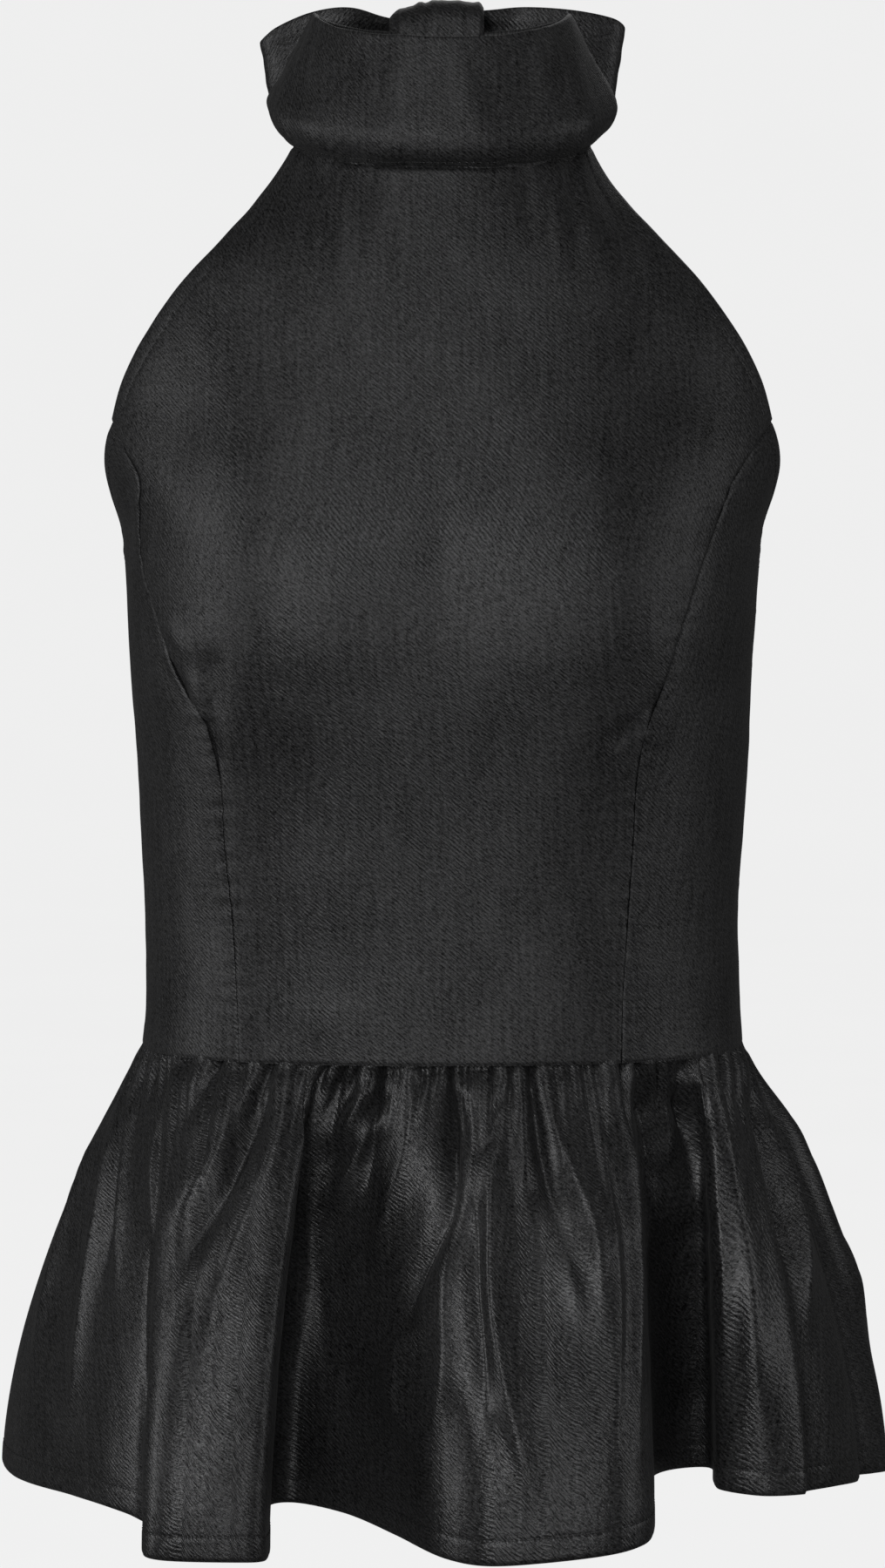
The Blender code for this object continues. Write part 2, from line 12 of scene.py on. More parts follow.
import bpy
import numpy as np
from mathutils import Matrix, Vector


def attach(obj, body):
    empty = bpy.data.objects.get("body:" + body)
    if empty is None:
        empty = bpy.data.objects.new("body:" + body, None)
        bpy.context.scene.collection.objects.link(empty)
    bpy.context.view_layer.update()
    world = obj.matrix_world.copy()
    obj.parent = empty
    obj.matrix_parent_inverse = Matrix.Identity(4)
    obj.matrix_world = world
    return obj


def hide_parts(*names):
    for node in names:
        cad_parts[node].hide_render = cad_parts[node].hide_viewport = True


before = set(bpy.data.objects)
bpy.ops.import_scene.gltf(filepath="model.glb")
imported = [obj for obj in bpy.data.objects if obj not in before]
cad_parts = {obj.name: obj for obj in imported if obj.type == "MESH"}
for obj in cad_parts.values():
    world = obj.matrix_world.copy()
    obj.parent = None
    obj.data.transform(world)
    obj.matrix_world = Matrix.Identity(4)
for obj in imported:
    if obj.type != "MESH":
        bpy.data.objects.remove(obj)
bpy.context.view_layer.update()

# Cloth and seams
CLOTH = 0.0010
TURNED_CLOTH = 0.0018
COLLAR_CLOTH = 0.0028
BOW_CLOTH = 0.0022
SEAM_GAP = 0.0003
SEAM_ALLOWANCE = 0.0090
STRIP_DROP = 0.0011

# Main heights and angles of the solids
WAIST = -0.3980
UNDERARM = -0.1760
BACK_TOP = -0.1900
NECK_BLEND_FROM = 0.86
PRINCESS_TOP = -0.1275
SIDE_SEAM = 90.0
CENTRE_BACK = 180.0
CENTRE_BACK_TURN = math.pi
COLLAR_CORNER = 80.0

# The figure: one row for each level section of the bodice, from the neck down
Section = namedtuple("Section", "height half_width front back")
BODY = (
    Section(0.010, 0.0560, 0.0580, 0.0560),
    Section(-0.005, 0.0660, 0.0605, 0.0640),
    Section(-0.019, 0.0790, 0.0640, 0.0720),
    Section(-0.034, 0.0955, 0.0690, 0.0790),
    Section(-0.049, 0.1125, 0.0740, 0.0840),
    Section(-0.065, 0.1265, 0.0795, 0.0880),
    Section(-0.080, 0.1358, 0.0850, 0.0910),
    Section(-0.095, 0.1415, 0.0905, 0.0930),
    Section(-0.110, 0.1447, 0.0960, 0.0945),
    Section(-0.125, 0.1462, 0.1010, 0.0950),
    Section(-0.146, 0.1467, 0.1070, 0.0950),
    Section(-0.158, 0.1440, 0.1100, 0.0945),
    Section(-0.172, 0.1397, 0.1130, 0.0940),
    Section(-0.188, 0.1380, 0.1155, 0.0930),
    Section(-0.217, 0.1362, 0.1175, 0.0900),
    Section(-0.247, 0.1343, 0.1150, 0.0860),
    Section(-0.277, 0.1326, 0.1110, 0.0815),
    Section(-0.308, 0.1309, 0.1075, 0.0790),
    Section(-0.338, 0.1294, 0.1050, 0.0785),
    Section(-0.361, 0.1290, 0.1040, 0.0800),
    Section(-0.384, 0.1296, 0.1035, 0.0825),
    Section(-0.400, 0.1312, 0.1035, 0.0840),
)
SQUARENESS = 2.5

# The cups: a soft swell on each side of the centre front, shaped by the princess seams
CUP_ACROSS = 0.078
CUP_HEIGHT = -0.205
CUP_FULLNESS = 0.011
CUP_WIDTH = 0.036
CUP_LENGTH = 0.045

# The bodice seams: distance of each from the centre line, seen from the front
Seam = namedtuple("Seam", "height right_side left_side")
PRINCESS = (
    Seam(-0.1275, 0.1414, 0.1414),
    Seam(-0.1338, 0.1379, 0.1362),
    Seam(-0.1443, 0.1328, 0.1292),
    Seam(-0.1502, 0.1293, 0.1249),
    Seam(-0.1640, 0.1288, 0.1188),
    Seam(-0.1782, 0.1287, 0.1132),
    Seam(-0.1915, 0.1269, 0.1080),
    Seam(-0.2061, 0.1221, 0.1031),
    Seam(-0.2206, 0.1172, 0.0984),
    Seam(-0.2330, 0.1130, 0.0946),
    Seam(-0.2438, 0.1068, 0.0908),
    Seam(-0.2531, 0.1005, 0.0871),
    Seam(-0.2656, 0.0964, 0.0836),
    Seam(-0.2773, 0.0936, 0.0819),
    Seam(-0.3061, 0.0918, 0.0803),
    Seam(-0.3393, 0.0885, 0.0782),
    Seam(-0.3724, 0.0866, 0.0761),
    Seam(-0.4000, 0.0857, 0.0759),
)
Edge = namedtuple("Edge", "height across")
ARMHOLE = (
    Edge(-0.0070, 0.0630),
    Edge(-0.0147, 0.0670),
    Edge(-0.0224, 0.0715),
    Edge(-0.0301, 0.0768),
    Edge(-0.0377, 0.0824),
    Edge(-0.0451, 0.0892),
    Edge(-0.0526, 0.0960),
    Edge(-0.0673, 0.1098),
    Edge(-0.0821, 0.1211),
    Edge(-0.0968, 0.1304),
    Edge(-0.1115, 0.1371),
    Edge(-0.1275, 0.1414),
)

# The collar: one row for each ring, from its foot to its folded top
CollarRing = namedtuple("CollarRing", "share side front back height")
COLLAR = (
    CollarRing(0.00, 0.0650, 0.0625, 0.0490, -0.0043),
    CollarRing(0.08, 0.0695, 0.0660, 0.0510, -0.0012),
    CollarRing(0.20, 0.0740, 0.0690, 0.0530, 0.0045),
    CollarRing(0.30, 0.0760, 0.0698, 0.0540, 0.0100),
    CollarRing(0.42, 0.0746, 0.0690, 0.0540, 0.0150),
    CollarRing(0.60, 0.0688, 0.0660, 0.0530, 0.0242),
    CollarRing(0.80, 0.0620, 0.0615, 0.0510, 0.0362),
    CollarRing(1.00, 0.0560, 0.0575, 0.0490, 0.0485),
)
COLLAR_SQUARENESS = 2.2
# The collar's slope for each metre forward of the neck's axis, and its rise for each metre behind it
COLLAR_FOOT_TILT = 0.248
COLLAR_TOP_TILT = 0.303
COLLAR_FOOT_RISE_BEHIND = 0.340
COLLAR_TOP_RISE_BEHIND = -0.138
COLLAR_TURN = 0.012

# Soft folds of the collar, from an angle at its foot to one at its top
CollarFold = namedtuple("CollarFold", "angle top_angle width out")
COLLAR_FOLDS = (
    CollarFold(-34.0, -52.0, 0.0060, -0.0010),
    CollarFold(-20.0, -16.0, 0.0080, 0.0009),
    CollarFold(30.0, 26.0, 0.0070, -0.0009),
    CollarFold(44.0, 40.0, 0.0040, 0.0008),
    CollarFold(56.0, 50.0, 0.0040, 0.0007),
    CollarFold(-62.0, -74.0, 0.0050, 0.0008),
    CollarFold(100.0, 108.0, 0.0060, -0.0008),
    CollarFold(-98.0, -90.0, 0.0050, 0.0008),
    CollarFold(128.0, 120.0, 0.0060, 0.0008),
    CollarFold(-130.0, -138.0, 0.0060, -0.0007),
)

# The bow: a wrapped knot and two open loops
KNOT_BACK_SET = 0.0620
KNOT_SQUARENESS = 2.6
KnotRing = namedtuple("KnotRing", "across half_depth top bottom")
KNOT = (
    KnotRing(-0.0234, 0.0195, 0.0528, 0.0125),
    KnotRing(-0.0222, 0.0205, 0.0545, 0.0100),
    KnotRing(-0.0155, 0.0213, 0.0578, 0.0085),
    KnotRing(-0.0060, 0.0215, 0.0604, 0.0080),
    KnotRing(0.0035, 0.0215, 0.0608, 0.0075),
    KnotRing(0.0125, 0.0213, 0.0600, 0.0080),
    KnotRing(0.0175, 0.0208, 0.0588, 0.0090),
    KnotRing(0.0185, 0.0200, 0.0572, 0.0110),
)
LoopStation = namedtuple("LoopStation", "reach back_set top bottom")
RIGHT_LOOP = (
    LoopStation(0.0000, 0.0650, 0.0515, 0.0190),
    LoopStation(0.0170, 0.0575, 0.0563, 0.0120),
    LoopStation(0.0340, 0.0580, 0.0545, 0.0090),
    LoopStation(0.0500, 0.0625, 0.0482, 0.0070),
    LoopStation(0.0568, 0.0700, 0.0428, 0.0070),
    LoopStation(0.0510, 0.0790, 0.0475, 0.0070),
    LoopStation(0.0340, 0.0850, 0.0540, 0.0090),
    LoopStation(0.0150, 0.0825, 0.0550, 0.0130),
    LoopStation(0.0000, 0.0750, 0.0500, 0.0190),
)
LEFT_LOOP = (
    LoopStation(0.0000, 0.0650, 0.0555, 0.0190),
    LoopStation(0.0180, 0.0580, 0.0566, 0.0120),
    LoopStation(0.0400, 0.0585, 0.0553, 0.0090),
    LoopStation(0.0575, 0.0635, 0.0522, 0.0070),
    LoopStation(0.0622, 0.0705, 0.0490, 0.0070),
    LoopStation(0.0560, 0.0795, 0.0508, 0.0070),
    LoopStation(0.0380, 0.0845, 0.0540, 0.0090),
    LoopStation(0.0160, 0.0820, 0.0555, 0.0130),
    LoopStation(0.0000, 0.0750, 0.0510, 0.0190),
)

# The peplum: one row for each fold line, going round from the wearer's right side. waist: the angle where
# it starts. across, forward: where it ends at the hem. fall: how far below the waist the hem hangs there
FoldLine = namedtuple("FoldLine", "waist across forward fall")
FRONT_FOLDS = (
    FoldLine(-90.0, -0.1942, -0.0040, 0.1850),
    FoldLine(-84.0, -0.1870, 0.0280, 0.1867),
    FoldLine(-75.0, -0.1580, 0.0800, 0.1854),
    FoldLine(-69.5, -0.1417, 0.1050, 0.1853),
    FoldLine(-65.5, -0.1290, 0.1190, 0.1872),
    FoldLine(-63.5, -0.1228, 0.1235, 0.1900),
    FoldLine(-62.3, -0.1243, 0.1480, 0.1945),
    FoldLine(-60.5, -0.1232, 0.1580, 0.1958),
    FoldLine(-55.0, -0.1155, 0.1655, 0.1961),
    FoldLine(-37.0, -0.0850, 0.1672, 0.1967),
    FoldLine(-31.0, -0.0740, 0.1630, 0.1972),
    FoldLine(-28.5, -0.0706, 0.1520, 0.1975),
    FoldLine(-27.0, -0.0716, 0.1150, 0.1910),
    FoldLine(-25.0, -0.0718, 0.0930, 0.1872),
    FoldLine(-21.0, -0.0640, 0.0860, 0.1873),
    FoldLine(-13.5, -0.0431, 0.0970, 0.1893),
    FoldLine(-4.0, -0.0208, 0.1250, 0.1934),
    FoldLine(4.5, 0.0009, 0.1570, 0.1972),
    FoldLine(10.0, 0.0169, 0.1680, 0.1979),
    FoldLine(19.0, 0.0420, 0.1696, 0.1965),
    FoldLine(30.0, 0.0703, 0.1650, 0.1938),
    FoldLine(34.5, 0.0812, 0.1580, 0.1922),
    FoldLine(38.0, 0.0872, 0.1480, 0.1906),
    FoldLine(41.0, 0.0897, 0.1080, 0.1842),
    FoldLine(43.5, 0.0915, 0.0640, 0.1802),
    FoldLine(48.0, 0.1010, 0.0505, 0.1796),
    FoldLine(54.5, 0.1136, 0.0475, 0.1794),
    FoldLine(56.5, 0.1156, 0.0560, 0.1801),
    FoldLine(58.5, 0.1148, 0.0780, 0.1812),
    FoldLine(60.5, 0.1171, 0.0860, 0.1818),
    FoldLine(67.5, 0.1350, 0.0937, 0.1831),
    FoldLine(75.5, 0.1548, 0.0860, 0.1837),
    FoldLine(77.5, 0.1548, 0.0780, 0.1843),
    FoldLine(83.5, 0.1689, 0.0600, 0.1852),
    FoldLine(90.0, 0.1813, 0.0360, 0.1872),
)
# Behind, the rows are crests and valleys in turn, and the lines that round them are worked out
BACK_FOLDS = (
    FoldLine(90.0, 0.1813, 0.0360, 0.1872),
    FoldLine(100.0, 0.1945, -0.0180, 0.1895),
    FoldLine(117.0, 0.1500, -0.0710, 0.1860),
    FoldLine(135.0, 0.1150, -0.1380, 0.1885),
    FoldLine(155.0, 0.0660, -0.0870, 0.1830),
    FoldLine(178.0, 0.0030, -0.1510, 0.1890),
    FoldLine(198.0, -0.0470, -0.0880, 0.1830),
    FoldLine(220.0, -0.1070, -0.1410, 0.1885),
    FoldLine(239.0, -0.1440, -0.0740, 0.1850),
    FoldLine(256.0, -0.1880, -0.0470, 0.1865),
    FoldLine(270.0, -0.1942, -0.0040, 0.1850),
)
# A rounding line: its share of the way from a valley to a crest, at the waist, along the hem and outward
Rounding = namedtuple("Rounding", "waist along outward")
ROUNDINGS = (Rounding(0.24, 0.27, 0.13), Rounding(0.44, 0.42, 0.50), Rounding(0.66, 0.62, 0.90))
FLARE = 1.65
HEM_CURVE_POINTS = 8801

# The tucks of the gathers: where each leaves the waist, where it ends, its share of the way down, its depth
Tuck = namedtuple("Tuck", "angle foot reach depth")
FRONT_TUCKS = (
    Tuck(-90.0, -90.0, 0.10, 0.0010),
    Tuck(-85.0, -82.0, 0.25, 0.0020),
    Tuck(-80.0, -76.0, 0.15, 0.0015),
    Tuck(-75.0, -70.0, 0.35, 0.0024),
    Tuck(-69.5, -67.0, 0.18, 0.0018),
    Tuck(-66.5, -64.0, 0.28, 0.0016),
    Tuck(-63.8, -63.8, 0.12, 0.0014),
    Tuck(-59.0, -62.0, 0.07, 0.0016),
    Tuck(-57.0, -58.5, 0.04, 0.0012),
    Tuck(-49.5, -58.5, 0.18, 0.0034),
    Tuck(-44.0, -44.0, 0.05, 0.0018),
    Tuck(-38.0, -45.0, 0.22, 0.0038),
    Tuck(-32.0, -33.0, 0.04, 0.0012),
    Tuck(-29.5, -30.0, 0.03, 0.0010),
    Tuck(-26.0, -29.5, 0.17, 0.0026),
    Tuck(-22.0, -24.5, 0.17, 0.0030),
    Tuck(-19.3, -21.0, 0.16, 0.0024),
    Tuck(-13.7, -13.0, 0.34, 0.0038),
    Tuck(-11.4, -11.8, 0.05, 0.0014),
    Tuck(-9.0, -9.6, 0.03, 0.0012),
    Tuck(-4.5, -4.6, 0.08, 0.0024),
    Tuck(-2.0, -2.4, 0.05, 0.0022),
    Tuck(-0.3, -0.6, 0.03, 0.0010),
    Tuck(2.0, 2.2, 0.40, 0.0040),
    Tuck(4.6, 4.2, 0.05, 0.0014),
    Tuck(6.2, 6.2, 0.05, 0.0012),
    Tuck(7.9, 8.2, 0.04, 0.0012),
    Tuck(9.6, 9.3, 0.03, 0.0012),
    Tuck(11.6, 11.8, 0.07, 0.0022),
    Tuck(15.6, 13.5, 0.30, 0.0024),
    Tuck(20.0, 22.5, 0.32, 0.0038),
    Tuck(25.3, 25.2, 0.03, 0.0008),
    Tuck(28.5, 28.9, 0.03, 0.0008),
    Tuck(31.6, 32.0, 0.36, 0.0024),
    Tuck(34.0, 33.8, 0.06, 0.0012),
    Tuck(40.0, 40.6, 0.28, 0.0028),
    Tuck(43.5, 47.5, 0.22, 0.0034),
    Tuck(47.8, 48.0, 0.14, 0.0016),
    Tuck(51.0, 53.5, 0.18, 0.0018),
    Tuck(54.0, 53.2, 0.26, 0.0032),
    Tuck(56.5, 55.0, 0.06, 0.0028),
    Tuck(59.5, 60.6, 0.08, 0.0014),
    Tuck(65.3, 64.3, 0.12, 0.0014),
    Tuck(71.0, 70.6, 0.22, 0.0018),
    Tuck(76.7, 72.0, 0.30, 0.0020),
    Tuck(83.0, 82.0, 0.12, 0.0016),
)
BACK_TUCK_STEP = 4.1
TUCK_STRENGTH = 1.5
TUCK_WIDTH = 0.0030
TUCK_WIDENING = 1.4
PUFF_SHARE = 0.34
HIGHEST_PUFF = 0.0032
PUFF_ROUNDNESS = 0.75
METRES_A_DEGREE = 0.002
SEAM_CLEAR = 0.012

# Folds of the peplum, given one by one. path: waist angle and share of the way down, from top to foot.
# before, after: how wide its two sides are. out: how far it stands out, or in where it is below 0
Fold = namedtuple("Fold", "before after out path")
PEPLUM_FOLDS = (
    Fold(0.0060, 0.0035, 0.0022, ((-66, 0.02), (-65, 0.20), (-63, 0.42), (-63, 0.70), (-61, 0.96))),
    Fold(0.0050, 0.0050, 0.0022, ((-78, 0.02), (-74, 0.20), (-71, 0.45), (-70, 0.60))),
    Fold(0.0060, 0.0080, 0.0026, ((-82, 0.04), (-78, 0.25), (-76, 0.55), (-76, 0.92))),
    Fold(0.0060, 0.0060, -0.0022, ((-80, 0.06), (-75, 0.28), (-73, 0.60))),
    Fold(0.0050, 0.0080, 0.0024, ((-86, 0.10), (-84, 0.35), (-83, 0.80))),
    Fold(0.0080, 0.0055, -0.0050, ((-38, 0.01), (-40, 0.14), (-44, 0.25), (-51, 0.37), (-57, 0.50))),
    Fold(0.0110, 0.0080, 0.0024, ((-42, 0.03), (-45, 0.14), (-52, 0.26), (-59, 0.36))),
    Fold(0.0090, 0.0090, 0.0022, ((-33, 0.03), (-35, 0.16), (-40, 0.32), (-44, 0.45), (-46, 0.62))),
    Fold(0.0080, 0.0140, -0.0026, ((-29, 0.02), (-25, 0.22), (-21, 0.44), (-16, 0.75))),
    Fold(0.0050, 0.0060, 0.0026, ((-15, 0.02), (-18, 0.11), (-21, 0.22))),
    Fold(0.0050, 0.0060, 0.0026, ((-12, 0.08), (-16, 0.20), (-20, 0.36))),
    Fold(0.0100, 0.0100, 0.0026, ((-5, 0.02), (-6, 0.19), (-9, 0.34), (-10, 0.52))),
    Fold(0.0060, 0.0050, -0.0040, ((2, 0.01), (3, 0.16), (2, 0.31), (-2, 0.46), (-4, 0.62))),
    Fold(0.0040, 0.0040, -0.0018, ((3, 0.03), (5, 0.12), (7, 0.21))),
    Fold(0.0040, 0.0040, -0.0018, ((15, 0.03), (12, 0.12), (8, 0.21))),
    Fold(0.0040, 0.0060, 0.0032, ((12, 0.06), (11, 0.27), (11, 0.45), (13, 0.62), (16, 0.80), (18, 0.98))),
    Fold(0.0060, 0.0040, -0.0026, ((8, 0.22), (9, 0.45), (10, 0.62), (10, 0.80))),
    Fold(0.0090, 0.0120, 0.0026, ((3, 0.32), (4, 0.48), (4, 0.64), (1, 0.80))),
    Fold(0.0100, 0.0080, 0.0020, ((-3, 0.54), (-5, 0.66), (-3, 0.76), (1, 0.84))),
    Fold(0.0050, 0.0050, 0.0018, ((18, 0.02), (18, 0.15), (17, 0.32))),
    Fold(0.0050, 0.0050, -0.0026, ((20, 0.01), (21, 0.18), (23, 0.30), (26, 0.50))),
    Fold(0.0070, 0.0070, 0.0030, ((22, 0.03), (25, 0.16), (29, 0.29), (30, 0.43), (29, 0.62))),
    Fold(0.0050, 0.0050, 0.0018, ((22, 0.24), (24, 0.37), (27, 0.56))),
    Fold(0.0080, 0.0030, 0.0020, ((33, 0.02), (33, 0.22), (33, 0.42), (32, 0.60), (30, 0.90))),
    Fold(0.0060, 0.0030, 0.0022, ((40, 0.02), (39, 0.24), (38, 0.42), (36, 0.62), (35, 0.90))),
    Fold(0.0060, 0.0050, -0.0034, ((43, 0.03), (45, 0.16), (45, 0.42))),
    Fold(0.0050, 0.0060, -0.0034, ((52, 0.05), (54, 0.18), (54, 0.34))),
    Fold(0.0030, 0.0060, 0.0020, ((59, 0.04), (61, 0.30), (62, 0.50), (61, 0.78))),
    Fold(0.0060, 0.0080, 0.0028, ((63, 0.04), (65, 0.28), (67, 0.49), (67, 0.70), (67, 0.96))),
    Fold(0.0080, 0.0080, -0.0042, ((84, 0.03), (80, 0.22), (80, 0.39), (79, 0.60))),
    Fold(0.0070, 0.0070, 0.0024, ((88, 0.10), (87, 0.33), (84, 0.49), (79, 0.72))),
)
FOLD_STRENGTH = 1.7
FOLD_SHARPNESS = 1.4
# Similar folds behind: the angle where each starts and how far it drifts on its way down
BACK_FOLD_STEP = 8.5
BACK_FOLD_DRIFT = 5.0

# Soft rises and hollows of the bodice front. across and height of the middle, its half sizes, and its rise
Swell = namedtuple("Swell", "across height half_width half_height rise")
SWELLS = (
    Swell(-0.113, -0.124, 0.015, 0.024, -0.0036),
    Swell(-0.078, -0.172, 0.022, 0.026, 0.0012),
    Swell(0.096, -0.112, 0.017, 0.018, -0.0028),
    Swell(0.078, -0.140, 0.016, 0.020, -0.0014),
    Swell(0.069, -0.170, 0.018, 0.022, 0.0008),
    Swell(-0.106, -0.218, 0.010, 0.010, 0.0010),
    Swell(-0.048, -0.380, 0.016, 0.010, 0.0010),
    Swell(0.072, -0.335, 0.008, 0.040, -0.0008),
)
# Creases of the bodice front, each from one place to another, across and height, and how far it stands out
Crease = namedtuple("Crease", "across height to_across to_height width out")
BODICE_CREASES = (
    Crease(-0.118, -0.228, -0.100, -0.251, 0.0030, -0.0016),
    Crease(-0.100, -0.250, -0.091, -0.282, 0.0034, -0.0020),
    Crease(-0.096, -0.226, -0.094, -0.262, 0.0045, -0.0016),
    Crease(-0.117, -0.210, -0.102, -0.232, 0.0040, 0.0012),
    Crease(-0.106, -0.236, -0.098, -0.262, 0.0035, 0.0012),
    Crease(0.070, -0.263, 0.088, -0.250, 0.0045, -0.0018),
    Crease(0.086, -0.252, 0.094, -0.236, 0.0035, -0.0010),
    Crease(0.078, -0.256, 0.092, -0.262, 0.0040, 0.0008),
    Crease(-0.052, -0.012, -0.048, -0.072, 0.0040, -0.0012),
    Crease(-0.044, -0.010, -0.042, -0.060, 0.0035, 0.0010),
    Crease(-0.060, -0.010, -0.066, -0.056, 0.0035, 0.0008),
    Crease(-0.028, -0.012, -0.027, -0.070, 0.0060, 0.0008),
    Crease(0.036, -0.012, 0.037, -0.062, 0.0035, -0.0007),
    Crease(0.048, -0.012, 0.050, -0.075, 0.0035, 0.0009),
    Crease(0.060, -0.010, 0.064, -0.070, 0.0035, 0.0009),
    Crease(0.055, -0.010, 0.057, -0.066, 0.0030, -0.0008),
    Crease(0.068, -0.014, 0.096, -0.120, 0.0060, -0.0014),
)

# Sewing
STITCH_PITCH = 0.0030
STITCH_LENGTH = 0.0024
THREAD = 0.00020
ARMHOLE_STITCH_IN = 0.0100
HEM_STITCH_UP = 0.0100
COLLAR_STITCH_UP = 0.0022

# Mesh fineness
FRONT_COLUMNS, FRONT_ROWS = 130, 190
SIDE_COLUMNS, SIDE_ROWS = 44, 150
BACK_COLUMNS, BACK_ROWS = 90, 110
PEPLUM_COLUMNS, PEPLUM_ROWS = 490, 76
COLLAR_COLUMNS, COLLAR_ROWS = 300, 40
LOOP_COLUMNS, LOOP_ROWS = 110, 26
KNOT_RINGS, KNOT_COLUMNS = 46, 110
SHARP_EDGE = 55.0
EDGE_STEPS = (0.0, 0.0004, 0.0008, 0.0013, 0.0020, 0.0030)
STITCH_STEPS = (0.0050, 0.0070, 0.0085, 0.0092, 0.0096, 0.0100, 0.0104, 0.0108, 0.0115, 0.0130, 0.0160)
HEM_STEPS = EDGE_STEPS + STITCH_STEPS

# The camera and its frame, in the photo's pixels
PHOTO_WIDTH, PHOTO_HEIGHT = 1016, 1800
PHOTO_CENTRE_COLUMN = 507.5
FOCAL_PIXELS = 6053.0
SENSOR = 36.0
CAMERA_PLACE = (0.0, -2.3, -0.1645)
CAMERA_PITCH = 3.0

# The pale studio: a floor that curves up into a wall behind
COVE_FLOOR = -0.86
COVE_REACH = 9.0
COVE_BACK = 6.6
COVE_TURN = 1.4
COVE_TOP = 4.0
COVE_GLOW = 0.86
ROOM_SEEN = 0.87
ROOM_LIGHT = 0.04

# The soft lights: where each stands, how wide and high it is, and its watts. All face the middle of the top
LIGHTS_FACE = (0.0, 0.0, -0.27)
Light = namedtuple("Light", "name place size power")
LIGHTS = (
    Light("key", (-0.80, -2.6, 0.28), (0.8, 1.0), 14.5),
    Light("fill", (0.55, -2.6, -0.45), (0.8, 0.8), 6),
    Light("above", (-0.2, -1.6, 1.9), (1.2, 0.8), 5),
    Light("right_rim", (-2.1, -0.5, 0.0), (0.4, 1.4), 8.5),
    Light("left_rim", (2.1, -0.5, 0.0), (0.4, 1.4), 4.5),
    Light("behind", (0.3, 2.4, 1.2), (1.6, 1.4), 5),
)


def smooth(places, values, at):
    """The smooth curve through the values at rising places, read at other places."""
    places, values, at = (np.asarray(a, float) for a in (places, values, at))
    slopes = np.gradient(values, places)
    i = np.clip(np.searchsorted(places, at) - 1, 0, len(places) - 2)
    span = places[i + 1] - places[i]
    t = np.clip((at - places[i]) / span, 0.0, 1.0)
    start, end = values[i], values[i + 1]
    rise_in, rise_out = slopes[i] * span, slopes[i + 1] * span
    return (
        start * (1 + 2 * t) * (1 - t) ** 2
        + rise_in * t * (1 - t) ** 2
        + end * t**2 * (3 - 2 * t)
        + rise_out * t**2 * (t - 1)
    )


def column(table, name, at, key="height"):
    """One named column of a table, read on a smooth curve along its key column."""
    rows = sorted(table, key=lambda row: getattr(row, key))
    return smooth([getattr(r, key) for r in rows], [getattr(r, name) for r in rows], at)


def ramp(t):
    """0 to 1, easing in and out."""
    t = np.clip(t, 0.0, 1.0)
    return t * t * (3 - 2 * t)


def hump(t, width):
    """1 at 0, falling softly to nothing at about twice the width."""
    return np.exp(-((t / width) ** 2))


def wander(at, seed, shortest, longest, waves=9):
    """A soft uneven line between about -1 and 1, read at places in metres or degrees."""
    chance = np.random.RandomState(seed)
    lengths = shortest * (longest / shortest) ** chance.rand(waves)
    shifts = chance.rand(waves) * 2 * math.pi
    total = sum(np.sin(2 * math.pi * at / length + shift) for length, shift in zip(lengths, shifts))
    return total / math.sqrt(waves)


def ground(across, up, seed, shortest, longest, waves=14):
    """A soft uneven field between about -1 and 1, read at places on the cloth in metres."""
    chance = np.random.RandomState(seed)
    total = 0
    for _ in range(waves):
        length = shortest * (longest / shortest) ** chance.rand()
        turn, shift = chance.rand(2) * 2 * math.pi
        total = total + np.sin(2 * math.pi * (across * math.cos(turn) + up * math.sin(turn)) / length + shift)
    return total / math.sqrt(waves)


def rounded_square(angle, half_width, front, back, squareness):
    """Distance from the axis of a rounded, squarish ring at an angle in radians."""
    depth = np.where(np.cos(angle) > 0, front, back)
    return (
        np.abs(np.sin(angle) / half_width) ** squareness + np.abs(np.cos(angle) / depth) ** squareness
    ) ** (-1 / squareness)


def body_point(angle, height):
    """The bodice's outer face at an angle in radians and a height."""
    radius = rounded_square(
        angle,
        column(BODY, "half_width", height),
        column(BODY, "front", height),
        column(BODY, "back", height),
        SQUARENESS,
    )
    x, y = radius * np.sin(angle), -radius * np.cos(angle)
    cup = np.exp(
        -(((np.abs(x) - CUP_ACROSS) / CUP_WIDTH) ** 2 + ((height - CUP_HEIGHT) / CUP_LENGTH) ** 2) / 2
    )
    y = y - CUP_FULLNESS * cup * np.clip(np.cos(angle) * 2, 0, 1)
    return np.stack([x, y, height + 0 * x], axis=-1)


def angle_on_body(across, height):
    """The angle in radians at which the front of the bodice is this far from the centre line."""
    half_width = column(BODY, "half_width", height)
    share = np.clip(across / half_width, -0.9995, 0.9995)
    depth = column(BODY, "front", height) * (1 - np.abs(share) ** SQUARENESS) ** (1 / SQUARENESS)
    return np.arctan2(across, depth)


def princess_angle(height, side):
    """The angle of a princess seam at a height, on the side whose sign is given."""
    across = column(PRINCESS, "left_side" if side > 0 else "right_side", height)
    return angle_on_body(side * across, height)


def armhole_angle(height, side):
    """The angle of the front's armhole edge at a height, on the side whose sign is given."""
    return angle_on_body(side * column(ARMHOLE, "across", height), height)


def gap_angle(angle, height):
    """The angle that half a seam gap takes at this place."""
    point = body_point(angle, height)
    return SEAM_GAP / 2 / np.hypot(point[..., 0], point[..., 1])


